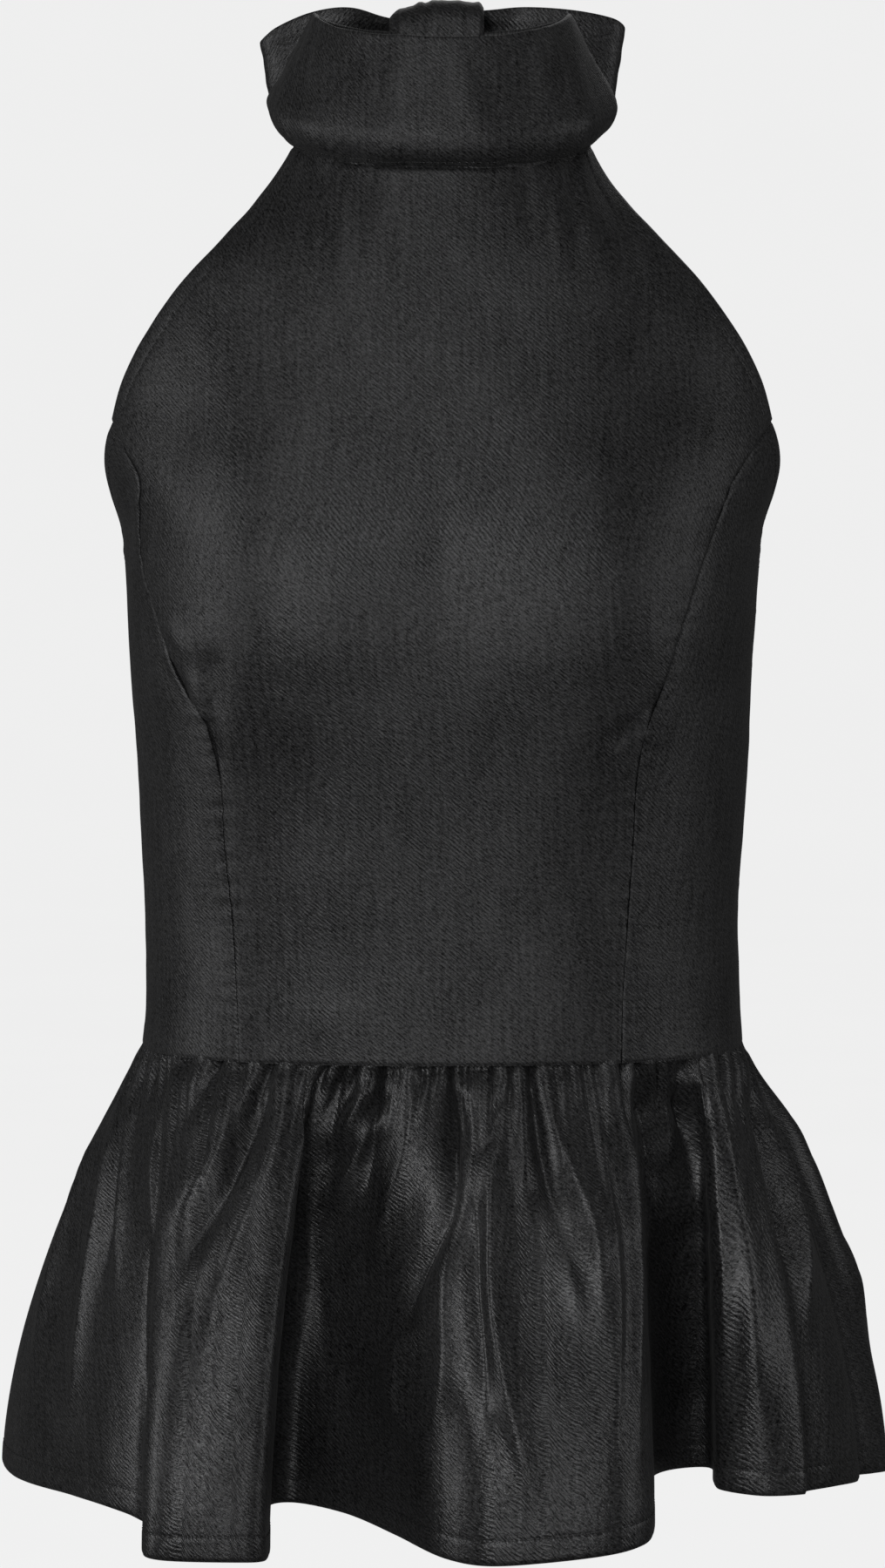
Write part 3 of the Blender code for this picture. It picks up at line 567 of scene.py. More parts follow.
def collar_point(angle, share):
    """The collar's outer face at an angle in radians, share of the way from its foot to its top."""
    radius = rounded_square(
        angle,
        column(COLLAR, "side", share, "share"),
        column(COLLAR, "front", share, "share"),
        column(COLLAR, "back", share, "share"),
        COLLAR_SQUARENESS,
    )
    x, y = radius * np.sin(angle), -radius * np.cos(angle)
    behind = (y + np.sqrt(y**2 + COLLAR_TURN**2) - COLLAR_TURN) / 2
    before = y - behind
    tilt = COLLAR_FOOT_TILT + (COLLAR_TOP_TILT - COLLAR_FOOT_TILT) * share
    rise = COLLAR_FOOT_RISE_BEHIND + (COLLAR_TOP_RISE_BEHIND - COLLAR_FOOT_RISE_BEHIND) * share
    height = column(COLLAR, "height", share, "share") + tilt * before + rise * behind
    return np.stack([x, y, height], axis=-1)


def finer_at_edges(count, length, start=EDGE_STEPS, end=EDGE_STEPS):
    """Shares of a length from 0 to 1, evenly spread between close steps at its start and its end."""
    before, after = np.array(start) / length, 1 - np.array(end)[::-1] / length
    return np.concatenate([before, np.linspace(before[-1], after[0], count)[1:-1], after])


def facing(grid):
    """The way each point of a grid faces: rows go up and columns round to the left, seen from inside."""
    face = np.cross(np.gradient(grid, axis=1), np.gradient(grid, axis=0))
    return face / np.maximum(np.linalg.norm(face, axis=-1, keepdims=True), 1e-12)


def from_edge(grid, edge):
    """How far each point of a grid is from its start, end, foot or top edge, square to that edge."""
    turned = grid.swapaxes(0, 1) if edge in ("foot", "top") else grid
    turned = turned[:, ::-1] if edge in ("end", "top") else turned
    steps = np.linalg.norm(np.diff(turned, axis=1), axis=-1)
    run = np.concatenate([np.zeros((len(turned), 1)), np.cumsum(steps, axis=1)], axis=1)
    along, away = np.gradient(turned[:, 0], axis=0), turned[:, 2] - turned[:, 0]
    sine = np.linalg.norm(np.cross(along, away), axis=1)
    sine = sine / np.maximum(np.linalg.norm(along, axis=1) * np.linalg.norm(away, axis=1), 1e-12)
    run = run * sine[:, None]
    run = run[:, ::-1] if edge in ("end", "top") else run
    return run.swapaxes(0, 1) if edge in ("foot", "top") else run


def weave_of(grid, upright=False):
    """Where each point of a grid lies on the flat cloth: metres round, and metres up the upright grain."""
    across = np.linalg.norm(np.diff(grid, axis=1), axis=-1)
    across = np.concatenate([np.zeros((len(grid), 1)), np.cumsum(across, axis=1)], axis=1)
    across = across - across[:, grid.shape[1] // 2, None]
    if upright:
        up = grid[..., 2]
    else:
        up = np.linalg.norm(np.diff(grid, axis=0), axis=-1)
        up = np.concatenate([np.zeros((1, grid.shape[1])), np.cumsum(up, axis=0)], axis=0)
        up = up - up[-1:]
    return np.stack([across, up, 0 * up], axis=-1)


def grid_faces(rows, columns, first, flipped, round_it=False):
    """The four-sided faces of a grid of points whose first point has this number."""
    n = first + np.arange(rows * columns).reshape(rows, columns)
    if round_it:
        n = np.hstack([n, n[:, :1]])
    corners = (n[:-1, :-1], n[:-1, 1:], n[1:, 1:], n[1:, :-1])
    faces = np.stack(corners, axis=-1).reshape(-1, 4)
    return faces[:, ::-1] if flipped else faces


def piece(name, points, faces, weave, material):
    """An object from points and faces, with the place of each point on the flat cloth."""
    data = bpy.data.meshes.new(name)
    data.from_pydata(points.reshape(-1, 3).tolist(), [], faces.tolist())
    kept = data.attributes.new("weave", "FLOAT_VECTOR", "POINT")
    kept.data.foreach_set("vector", weave.astype(np.float32).ravel())
    data.shade_smooth()
    data.set_sharp_from_angle(angle=math.radians(SHARP_EDGE))
    data.materials.append(material)
    made = bpy.data.objects.new(name, data)
    bpy.context.scene.collection.objects.link(made)
    return made


def walls(face, thickness, first):
    """The points and faces of a grid made into cloth with a face, a back and a rim between them."""
    rows, columns = face.shape[:2]
    back = face - facing(face) * np.broadcast_to(thickness, (rows, columns))[..., None]
    n = first + np.arange(rows * columns).reshape(rows, columns)
    loop = np.concatenate([n[0, :-1], n[:-1, -1], n[-1, :0:-1], n[:0:-1, 0]])
    after = np.roll(loop, -1)
    rim = np.stack([loop, loop + n.size, after + n.size, after], axis=-1)
    sides = [grid_faces(rows, columns, first, False), grid_faces(rows, columns, first + n.size, True), rim]
    return np.concatenate([face.reshape(-1, 3), back.reshape(-1, 3)]), np.vstack(sides)


def shell(name, face, thickness, material, weave=None, strips=()):
    """A piece of cloth, with the strips of it that are turned in at its seams."""
    points, faces = walls(face, thickness, 0)
    weaves = [weave_of(face) if weave is None else weave]
    for strip in strips:
        more, sides = walls(strip, CLOTH, len(points))
        points, faces = np.concatenate([points, more]), np.vstack([faces, sides])
        weaves.append(weave_of(strip))
    flat = np.concatenate([w.reshape(-1, 3) for one in weaves for w in (one, one)])
    return piece(name, points, faces, flat, material)


def worn(made, node):
    """Hangs a piece of cloth on the root and hides the part of the model that it takes the place of."""
    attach(made, "root")
    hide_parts(node)
    return made


class Wire:
    """A socket of a material's nodes. Sums, differences and products of wires add Math nodes."""

    def __init__(self, finish, socket):
        self.finish, self.socket = finish, socket

    def maths(self, operation, one, other=0.0):
        return self.finish.node("ShaderNodeMath", {"operation": operation}, {0: one, 1: other})

    def __add__(self, other):
        return self.maths("ADD", self, other)

    def __sub__(self, other):
        return self.maths("SUBTRACT", self, other)

    def __rsub__(self, other):
        return self.maths("SUBTRACT", other, self)

    def __mul__(self, other):
        return self.maths("MULTIPLY", self, other)

    __radd__, __rmul__ = __add__, __mul__

    def sine(self):
        return self.maths("SINE", self)

    def part(self, name):
        """Another output of the node that this wire leaves."""
        return Wire(self.finish, self.socket.node.outputs[name])


class Finish:
    """A material in the making: its nodes and its Principled shader."""

    def __init__(self, name, **constants):
        self.material = bpy.data.materials.new(name)
        self.material.use_nodes = True
        self.tree = self.material.node_tree
        self.shader = self.tree.nodes["Principled BSDF"]
        for socket, value in constants.items():
            self.shader.inputs[socket.replace("_", " ")].default_value = value

    def node(self, kind, settings, inputs):
        """A node of a kind, with its settings made first and then the values or wires of its sockets."""
        made = self.tree.nodes.new(kind)
        for name, value in settings.items():
            setattr(made, name, value)
        for name, value in inputs.items():
            self.feed(made.inputs[name], value)
        return Wire(self, next(out for out in made.outputs if out.enabled))

    def feed(self, socket, value):
        if isinstance(value, Wire):
            self.tree.links.new(value.socket, socket)
        else:
            socket.default_value = value

    def grain(self, place, scale, detail=2.0, roughness=0.5):
        """Soft noise, 0 to 1, at a place."""
        inputs = {"Vector": place, "Scale": scale, "Detail": detail, "Roughness": roughness}
        return self.node("ShaderNodeTexNoise", {"noise_dimensions": "3D"}, inputs)

    def spread(self, share, low, high):
        """A share stretched so that low becomes 0 and high becomes 1, and cut off beyond them."""
        inputs = {"Value": share, "From Min": low, "From Max": high}
        return self.node("ShaderNodeMapRange", {"clamp": True}, inputs)

    def blend(self, share, dark, light):
        """A colour between two."""
        made = self.node("ShaderNodeMix", {"data_type": "RGBA"}, {"Factor": share})
        self.feed(made.socket.node.inputs[6], dark)
        self.feed(made.socket.node.inputs[7], light)
        return Wire(self, made.socket.node.outputs[2])

    def shade(self, **wires):
        for socket, value in wires.items():
            self.feed(self.shader.inputs[socket.replace("_", " ")], value)
        return self.material


TWILL_SLANT = 50.0
TWILL_PITCH = 0.00145
FLOAT_LENGTH = 0.0030
FLOAT_WIDTH = 0.00072


def satin(name, dark=0.0040, light=0.150, gloss=0.40):
    """Black satin with a fine twill: slanting floats, each catching the light a little differently."""
    finish = Finish(name, Metallic=0.55, Specular_IOR_Level=0.45, Sheen_Weight=0.04, Sheen_Roughness=0.45)
    place = finish.node("ShaderNodeAttribute", {"attribute_name": "weave"}, {}).part("Vector")
    split = finish.node("ShaderNodeSeparateXYZ", {}, {0: place})
    across, up = split, split.part("Y")
    slant = math.radians(TWILL_SLANT)
    over = across * math.cos(slant) + up * math.sin(slant)
    along = across * math.sin(slant) - up * math.cos(slant)
    lie = finish.node(
        "ShaderNodeCombineXYZ", {}, {0: along * (1 / FLOAT_LENGTH), 1: over * (1 / FLOAT_WIDTH)}
    )
    floats = finish.grain(lie, 1.0, 1.0, 0.6)
    twill = (over * (2 * math.pi / TWILL_PITCH)).sine() * 0.5 + 0.5
    specks = finish.grain(place, 1 / 0.0008, 1.0, 0.6)
    threads = finish.node("ShaderNodeCombineXYZ", {}, {0: across * (1 / 0.0018), 1: up * (1 / 0.040)})
    streaks = finish.grain(threads, 1.0, 2.0, 0.5)
    clouds = finish.grain(place, 1 / 0.030, 3.0, 0.55)
    height = floats * 0.9 + twill * 0.22 + specks * 0.45
    bump = finish.node(
        "ShaderNodeBump", {}, {"Strength": 0.6, "Distance": 0.0004, "Height": height}
    )
    shine = finish.spread(floats, 0.34, 0.68) * (twill * 0.35 + 0.65)
    tone = shine * 0.50 + finish.spread(specks, 0.32, 0.70) * 0.36
    tone = tone + (streaks - 0.5) * 0.40 + (clouds - 0.5) * 0.35
    colour = finish.blend(tone, (dark, dark, dark * 1.03, 1), (light, light, light * 1.02, 1))
    rough = floats * 0.12 + streaks * 0.06 + clouds * 0.10 + (gloss - 0.14)
    return finish.shade(Base_Color=colour, Roughness=rough, Normal=bump)


def thread():
    """The black sewing thread, a little smoother than the cloth."""
    finish = Finish("black_thread", Specular_IOR_Level=0.6, Sheen_Weight=0.1, Sheen_Roughness=0.4)
    place = finish.node("ShaderNodeTexCoord", {}, {}).part("Object")
    twist = finish.grain(place, 1 / 0.0004, 1.0, 0.5)
    colour = finish.blend(twist, (0.006, 0.006, 0.006, 1), (0.022, 0.022, 0.023, 1))
    return finish.shade(Base_Color=colour, Roughness=twist * 0.2 + 0.35)


def creased(grid):
    """How far the listed swells, creases and chance unevenness lift the bodice front."""
    across, height = grid[..., 0], grid[..., 2]
    lift = 0.00030 * ground(across, height, 3, 0.050, 0.120)
    lift = lift + 0.00006 * ground(across, height, 4, 0.012, 0.030)
    for s in SWELLS:
        lift = lift + s.rise * hump((across - s.across) / s.half_width, 1) * hump(
            (height - s.height) / s.half_height, 1
        )
    for c in BODICE_CREASES:
        run = np.array([c.to_across - c.across, c.to_height - c.height])
        length = np.hypot(*run)
        way = ((across - c.across) * run[0] + (height - c.height) * run[1]) / length**2
        aside = ((across - c.across) * run[1] - (height - c.height) * run[0]) / length
        lift = lift + c.out * hump(aside, c.width) * ramp(way * 3 + 0.5) * ramp((1 - way) * 1.6 + 0.1)
    return lift


def sewn_edge(distance, depth=0.00045, width=0.0008):
    """How far the cloth rolls in at a seam."""
    return -depth * hump(distance, width)


def waist_edge(grid):
    """How far the foot of a bodice panel rolls in at the waist seam."""
    return sewn_edge(from_edge(grid, "foot"), 0.0005, 0.0010)


def pucker(grid, seams, seed):
    """The small pulls of the thread along the seams of a bodice panel."""
    return 0.00018 * wander(grid[..., 2], seed, 0.006, 0.012) * hump(seams, 0.007)


def turned_edge(distance, stitch_in):
    """The turned and stitched edge of the cloth: a roll at the edge, a raised band and a line pulled in."""
    band = 0.00025 * (1 - ramp((distance - stitch_in + 0.0004) / 0.0014))
    return band - 0.00034 * hump(distance - stitch_in, 0.0008) - 0.0006 * hump(distance, 0.0010)


def line_at(grid, distance, away):
    """The line on a grid that lies this far from an edge, with the way the cloth faces there."""
    faces = facing(grid)
    points, outs = [], []
    for row, normals, far in zip(grid, faces, distance):
        order = np.argsort(far)
        points.append([np.interp(away, far[order], row[order, k]) for k in range(3)])
        outs.append([np.interp(away, far[order], normals[order, k]) for k in range(3)])
    return np.array(points), np.array(outs)


def stitches(lines, name, material):
    """Rows of short stitches along lines that lie on the cloth."""
    sides, stations = 5, 5
    turn = np.linspace(0, 2 * math.pi, sides, endpoint=False)
    points, faces = [], []
    for path, outs in lines:
        run = np.concatenate([[0], np.cumsum(np.linalg.norm(np.diff(path, axis=0), axis=1))])
        starts = np.arange(STITCH_PITCH / 2, run[-1] - STITCH_LENGTH, STITCH_PITCH)
        for start in starts:
            at = start + STITCH_LENGTH * np.linspace(0, 1, stations)
            middle = np.stack([np.interp(at, run, path[:, k]) for k in range(3)], axis=-1)
            out = np.stack([np.interp(at, run, outs[:, k]) for k in range(3)], axis=-1)
            rise = THREAD * np.array([-1.0, 0.45, 0.7, 0.45, -1.0])
            middle = middle + out * rise[:, None]
            side = np.cross(np.gradient(middle, axis=0), out)
            side /= np.linalg.norm(side, axis=1, keepdims=True)
            ring = np.cos(turn)[None, :, None] * side[:, None] + np.sin(turn)[None, :, None] * out[:, None]
            first = len(points) * stations * sides
            points.append(middle[:, None] + ring * THREAD)
            faces.append(grid_faces(stations, sides, first, True, round_it=True))
    points = np.concatenate([p.reshape(-1, 3) for p in points])
    made = piece(name, points, np.vstack(faces), points, material)
    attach(made, "root")
    return made


def front_grid():
    """The centre front, from princess seam to princess seam and up between the armholes to the collar."""
    corner = collar_point(math.radians(COLLAR_CORNER), 0.0)[2] - SEAM_GAP
    middle = collar_point(0.0, 0.0)[2] - SEAM_GAP
    foot = WAIST + SEAM_GAP / 2
    edge_height = (foot + (corner - foot) * finer_at_edges(FRONT_ROWS, corner - foot))[:, None]
    rows = (edge_height - foot) / (corner - foot)
    above = edge_height > PRINCESS_TOP + 1e-6
    edges = []
    for side in (-1, 1):
        seam = princess_angle(np.minimum(edge_height, PRINCESS_TOP), side)
        seam = seam - side * gap_angle(seam, edge_height)
        edges.append(np.where(above, armhole_angle(np.maximum(edge_height, PRINCESS_TOP), side), seam))
    level = body_point(edges[0] + (edges[1] - edges[0]) * np.linspace(0, 1, 60)[None, :], edge_height)
    widths = np.linalg.norm(np.diff(level, axis=1), axis=-1).sum(axis=1)
    across = np.array([finer_at_edges(FRONT_COLUMNS, w, HEM_STEPS, HEM_STEPS) for w in widths]) * 2 - 1
    height = edge_height + (middle - corner) * rows**2 * (1 - across**2)
    angle = edges[0] + (edges[1] - edges[0]) * (across + 1) / 2
    outer = body_point(angle, height)
    neckline = collar_point(np.radians(COLLAR_CORNER) * across[-1], 0.0) - (0, 0, SEAM_GAP)
    shift = (neckline - outer[-1])[None]
    return outer + shift * ramp((rows - NECK_BLEND_FROM) / (1 - NECK_BLEND_FROM))[..., None], edge_height


def side_front_grid(side):
    """A side panel, from the princess seam to the side seam, under the armhole."""
    rows = finer_at_edges(SIDE_ROWS, 0.235, end=HEM_STEPS)[:, None]
    across = finer_at_edges(SIDE_COLUMNS, 0.070)[None, :]
    foot = WAIST + SEAM_GAP / 2
    at_princess = foot + (PRINCESS_TOP - foot) * rows
    at_side = foot + (UNDERARM - foot) * rows
    start = princess_angle(at_princess, side)
    start = start + side * gap_angle(start, at_princess)
    end = side * math.radians(SIDE_SEAM)
    end = end - side * gap_angle(np.full_like(at_side, end), at_side)
    height = at_princess + (at_side - at_princess) * across
    grid = body_point(start + (end - start) * across, height)
    return grid if side > 0 else grid[:, ::-1]


def back_grid(side):
    """A back panel, from the side seam to the centre back, open above."""
    rows = finer_at_edges(BACK_ROWS, 0.210, end=HEM_STEPS)[:, None]
    across = finer_at_edges(BACK_COLUMNS, 0.16)[None, :]
    foot = WAIST + SEAM_GAP / 2
    top = UNDERARM + (BACK_TOP - UNDERARM) * ramp(across)
    height = foot + (top - foot) * rows
    side_seam, centre = (side * math.radians(a) for a in (SIDE_SEAM, CENTRE_BACK))
    half_gap = side * gap_angle(np.full_like(height, side_seam), height)
    grid = body_point(side_seam + half_gap + (centre - side_seam - 2 * half_gap) * across, height)
    return grid if side > 0 else grid[:, ::-1]


def seam_strip(seam, top):
    """The cloth turned in along a bodice seam and pressed open, which closes the seam from behind."""
    height = np.linspace(WAIST + 0.002, top, 60)[:, None] + np.zeros((1, 7))
    middle = seam(height)
    aside = np.linspace(-SEAM_ALLOWANCE, SEAM_ALLOWANCE, 7)[None, :]
    radius = np.hypot(*np.moveaxis(body_point(middle, height)[..., :2], -1, 0))
    grid = body_point(middle + aside / radius, height)
    return grid - facing(grid) * (CLOTH + STRIP_DROP)


def neck_strip(grid):
    """The top of the front, turned up inside the collar."""
    angle = np.radians(COLLAR_CORNER) * np.linspace(-1, 1, grid.shape[1])
    low = (grid - facing(grid) * (CLOTH + STRIP_DROP))[-10]
    rows = []
    for share, drop in ((0.0, 0.0010), (0.05, 0.0012), (0.10, 0.0014), (0.16, 0.0015)):
        ring = collar_point(np.stack([angle] * 3), np.array([[share - 0.01], [share], [share + 0.01]]))
        rows.append(ring[1] - facing(ring)[1] * (COLLAR_CLOTH + drop))
    return np.array([low, (low + rows[0]) / 2] + rows)


def make_bodice(material, sewing):
    """The five bodice panels. Their stitched lines go into the list that is given."""
    grid, edge_height = front_grid()
    start, end = from_edge(grid, "start"), from_edge(grid, "end")
    near = np.minimum(start, end)
    armhole = ramp((edge_height - PRINCESS_TOP) / 0.004)
    lift = creased(grid) + sewn_edge(from_edge(grid, "top"), 0.0009, 0.0014)
    lift = lift + waist_edge(grid) + (1 - armhole) * (sewn_edge(near) + pucker(grid, near, 5))
    lift = lift + armhole * turned_edge(near, ARMHOLE_STITCH_IN)
    face = grid + facing(grid) * lift[..., None]
    thickness = CLOTH + (TURNED_CLOTH - CLOTH) * armhole * (1 - ramp((near - ARMHOLE_STITCH_IN) / 0.001))
    strips = [seam_strip(lambda h, s=side: princess_angle(h, s), PRINCESS_TOP - 0.004) for side in (-1, 1)]
    worn(
        shell("centre_front", face, thickness, material, weave_of(grid, True), strips + [neck_strip(grid)]),
        "front_panel",
    )
    rows = edge_height[:, 0] > PRINCESS_TOP - 0.001
    for far in (start, end):
        sewing.append(line_at(face[rows], far[rows], ARMHOLE_STITCH_IN))
    for side, word, width in ((-1, "right", 0.064), (1, "left", 0.074)):
        grid = side_front_grid(side)
        seams = np.minimum(from_edge(grid, "start"), from_edge(grid, "end"))
        top = from_edge(grid, "top")
        lift = creased(grid) * ramp(seams / 0.01) + sewn_edge(seams) + pucker(grid, seams, 6 + side)
        lift = lift + turned_edge(top, ARMHOLE_STITCH_IN) + waist_edge(grid)
        face = grid + facing(grid) * lift[..., None]
        strip = seam_strip(lambda h: math.radians(SIDE_SEAM) * side + 0 * h, UNDERARM - 0.004)
        worn(
            shell("side_front_" + word + "_cloth", face, CLOTH, material, weave_of(grid, True), [strip]),
            "side_front_" + word,
        )
        sewing.append(line_at(face.swapaxes(0, 1), top.swapaxes(0, 1), ARMHOLE_STITCH_IN))
    for side, word in ((-1, "right"), (1, "left")):
        grid = back_grid(side)
        seams = np.minimum(from_edge(grid, "start"), from_edge(grid, "end"))
        top = from_edge(grid, "top")
        weave = weave_of(grid, True)
        uneven = 0.00040 * ground(weave[..., 0], weave[..., 1], 20 + side, 0.045, 0.120)
        lift = uneven * ramp(seams / 0.01) + sewn_edge(seams) + pucker(grid, seams, 11 + side)
        lift = lift + turned_edge(top, ARMHOLE_STITCH_IN) + waist_edge(grid)
        face = grid + facing(grid) * lift[..., None]
        strips = [seam_strip(lambda h: CENTRE_BACK_TURN + 0 * h, BACK_TOP - 0.004)] if side > 0 else []
        worn(
            shell("back_" + word + "_cloth", face, CLOTH, material, weave, strips),
            "back_" + word,
        )
        sewing.append(line_at(face.swapaxes(0, 1), top.swapaxes(0, 1), ARMHOLE_STITCH_IN))


def fold_lines(lines):
    """Rounds the crests between their valleys."""
    made = [lines[0]]
    for before, crest, after in zip(lines[:-2:2], lines[1::2], lines[2::2]):
        outward = np.array([before.forward - after.forward, after.across - before.across])
        outward /= np.linalg.norm(outward)
        made += [toward_crest(before, crest, outward, share) for share in ROUNDINGS] + [crest]
        made += [toward_crest(after, crest, outward, share) for share in ROUNDINGS[::-1]] + [after]
    return made


def toward_crest(valley, crest, outward, share):
    """A rounding line between a valley and a crest, which stands out along the level direction outward."""
    low, high = (np.array([fold.across, fold.forward]) for fold in (valley, crest))
    out = (high - low) @ outward * outward
    place = low + out * share.outward + (high - low - out) * share.along
    waist = valley.waist + (crest.waist - valley.waist) * share.waist
    return FoldLine(waist, *place, valley.fall + (crest.fall - valley.fall) * share.outward)


def peplum_columns():
    """Waist angle (radians), hem x, hem y and hem fall along a fine curve through the fold lines."""
    folds = list(FRONT_FOLDS) + fold_lines(BACK_FOLDS)[1:]
    lines = np.array([(f.waist, f.across, -f.forward, f.fall) for f in folds])
    before, after = lines[-4:-1] - (360, 0, 0, 0), lines[1:4] + (360, 0, 0, 0)
    closed = np.vstack([before, lines, after])
    steps = np.linalg.norm(np.diff(closed[:, 1:3], axis=0), axis=1) ** 0.5
    knots = np.concatenate([[0], np.cumsum(steps)])
    fine = np.linspace(knots[1], knots[-2], HEM_CURVE_POINTS)
    waist, x, y, fall = (smooth(knots, closed[:, k], fine) for k in range(4))
    return np.radians(np.maximum.accumulate(waist)), x, y, fall


def peplum_half(start, end, count):
    """The columns from one waist angle to another, spread evenly along the hem and the waist together."""
    waist, x, y, fall = peplum_columns()
    hem = np.concatenate([[0], np.cumsum(np.hypot(np.diff(x), np.diff(y)))])
    evenly = hem / hem[-1] + (waist - waist[0]) / (waist[-1] - waist[0])
    first, last = np.interp([start, end], waist, evenly)
    at = first + (last - first) * np.arange(-1, count + 2) / count
    return [np.interp(at, evenly, values) for values in (waist, x, y, fall)]


def all_tucks():
    """The tucks all round, from -90 to 270 degrees: those that the photo shows, and like ones behind."""
    chance = np.random.RandomState(12)
    behind = [Tuck(SIDE_SEAM, SIDE_SEAM, 0.10, 0.0010)]
    while behind[-1].angle < 270 - 1.5 * BACK_TUCK_STEP:
        angle = behind[-1].angle + BACK_TUCK_STEP * (0.45 + 1.15 * chance.rand())
        strong = chance.rand() ** 1.6
        drift = 6.0 * (chance.rand() - 0.5) * strong
        behind.append(Tuck(angle, angle + drift, 0.03 + 0.33 * strong, 0.0010 + 0.0030 * strong))
    return list(FRONT_TUCKS) + behind + [Tuck(270.0, 270.0, 0.10, 0.0010)]


def puffs(angle, share, length, metres_round):
    """How far the cloth puffs out between the tucks, and sinks in at them, at waist angles in degrees."""
    tucks = all_tucks()
    starts = np.array([t.angle for t in tucks])
    chance = np.random.RandomState(21)
    wide = np.diff(starts) * METRES_A_DEGREE
    high = np.minimum(wide * PUFF_SHARE * (0.6 + 0.8 * chance.rand(len(wide))), HIGHEST_PUFF)
    reach = wide * (1.6 + 2.6 * chance.rand(len(wide)) ** 1.5) + 0.004
    cell = np.clip(np.searchsorted(starts, angle) - 1, 0, len(wide) - 1)
    part = np.clip((angle - starts[cell]) / (starts[cell + 1] - starts[cell]), 0, 1)
    puff = high[cell] * np.sin(math.pi * part) ** PUFF_ROUNDNESS
    down = np.maximum(share, 0)[:, None] * length
    fading = np.exp(-((down / reach[cell][None, :]) ** 1.4))
    lift = puff[None, :] * (0.6 + 0.4 * ramp(down / 0.008)) * fading
    for tuck in tucks:
        if not angle[0] - 6 < tuck.angle < angle[-1] + 6:
            continue
        for r, s in enumerate(share):
            way = max(s, 0.0) / tuck.reach
            if way >= 1:
                continue
            at = tuck.angle + (tuck.foot - tuck.angle) * way
            aside = np.abs(metres_round[r] - np.interp(at, angle, metres_round[r]))
            width = TUCK_WIDTH * (1 + TUCK_WIDENING * way)
            strength = TUCK_STRENGTH * ramp((1 - way) * 1.3)
            lift[r] -= strength * tuck.depth * np.exp(-((aside / width) ** 1.15))
    return lift


def back_folds():
    """Folds for the hidden back of the peplum, like those in front."""
    chance = np.random.RandomState(31)
    folds = []
    angle = SIDE_SEAM + 6.0
    while angle < 265.0:
        top, foot = 0.02 + 0.05 * chance.rand(), 0.25 + 0.6 * chance.rand()
        drift = BACK_FOLD_DRIFT * (chance.rand() - 0.5) * 2
        out = (0.0018 + 0.0026 * chance.rand()) * (1 if chance.rand() < 0.55 else -1)
        width = 0.0045 + 0.0055 * chance.rand()
        lean = 0.7 + 0.6 * chance.rand()
        path = tuple((angle + drift * t, top + (foot - top) * t) for t in (0.0, 0.5, 1.0))
        folds.append(Fold(width * lean, width / lean, out, path))
        angle += BACK_FOLD_STEP * (0.5 + chance.rand())
    return folds


def peplum_fold_lift(angle, share, metres_round):
    """How far the drawn folds lift the peplum. metres_round: the distance round the cloth in each row."""
    lift = np.zeros_like(metres_round)
    for fold in list(PEPLUM_FOLDS) + back_folds():
        angles, shares = np.array(fold.path, float).T
        for r, s in enumerate(share):
            if not shares[0] < s < shares[-1]:
                continue
            at = smooth(shares, angles, s)
            if not angle[0] - 6 < at < angle[-1] + 6:
                continue
            aside = metres_round[r] - np.interp(at, angle, metres_round[r])
            way = (s - shares[0]) / (shares[-1] - shares[0])
            strength = FOLD_STRENGTH * ramp(way * 4) * ramp((1 - way) * 2.2)
            width = np.where(aside < 0, fold.before, fold.after)
            lift[r] += strength * fold.out * np.exp(-((np.abs(aside) / width) ** FOLD_SHARPNESS))
    return lift


def peplum_grid(start, end):
    """A half of the gathered peplum, with its share of the way down for each row."""
    start, end = math.radians(start), math.radians(end)
    half_gap = gap_angle(start, WAIST)
    waist, x, y, fall = peplum_half(start + half_gap, end - half_gap, PEPLUM_COLUMNS)
    down = finer_at_edges(PEPLUM_ROWS, 0.190, (0.0, 0.001, 0.002, 0.004), HEM_STEPS)
    share = np.concatenate([[-0.030, -0.015], down])
    top = body_point(waist, np.full_like(waist, WAIST))[:, :2]
    flare = (1 - (1 - np.clip(share, 0, 1)) ** FLARE)[:, None, None]
    level = top + (np.stack([x, y], axis=-1) - top) * flare
    along = np.gradient(level, axis=1)
    out = np.stack([along[..., 1], -along[..., 0]], axis=-1)
    out /= np.linalg.norm(out, axis=-1, keepdims=True)
    metres_round = np.cumsum(np.linalg.norm(along, axis=-1), axis=1)
    angle = np.degrees(waist)
    length = fall.mean()
    soft = ground(metres_round, share[:, None] * length, 41, 0.035, 0.090)
    lift = peplum_fold_lift(angle, share, metres_round) + 0.00018 * soft * ramp(share * 6)[:, None]
    lift = lift + puffs(angle, share, length, metres_round)
    seams = np.minimum(metres_round - metres_round[:, :1], metres_round[:, -1:] - metres_round)
    lift = lift * ramp(seams / SEAM_CLEAR) + sewn_edge(seams, 0.0005, 0.0010)
    lift = lift - 0.0009 - 0.0010 * ramp(-share / 0.015)[:, None]
    height = WAIST - SEAM_GAP / 2 - fall[None, :] * share[:, None]
    grid = np.concatenate([level + out * lift[..., None], height[..., None]], axis=-1)
    return grid[::-1, 1:-1], share[::-1], angle[1:-1], metres_round[::-1, 1:-1]


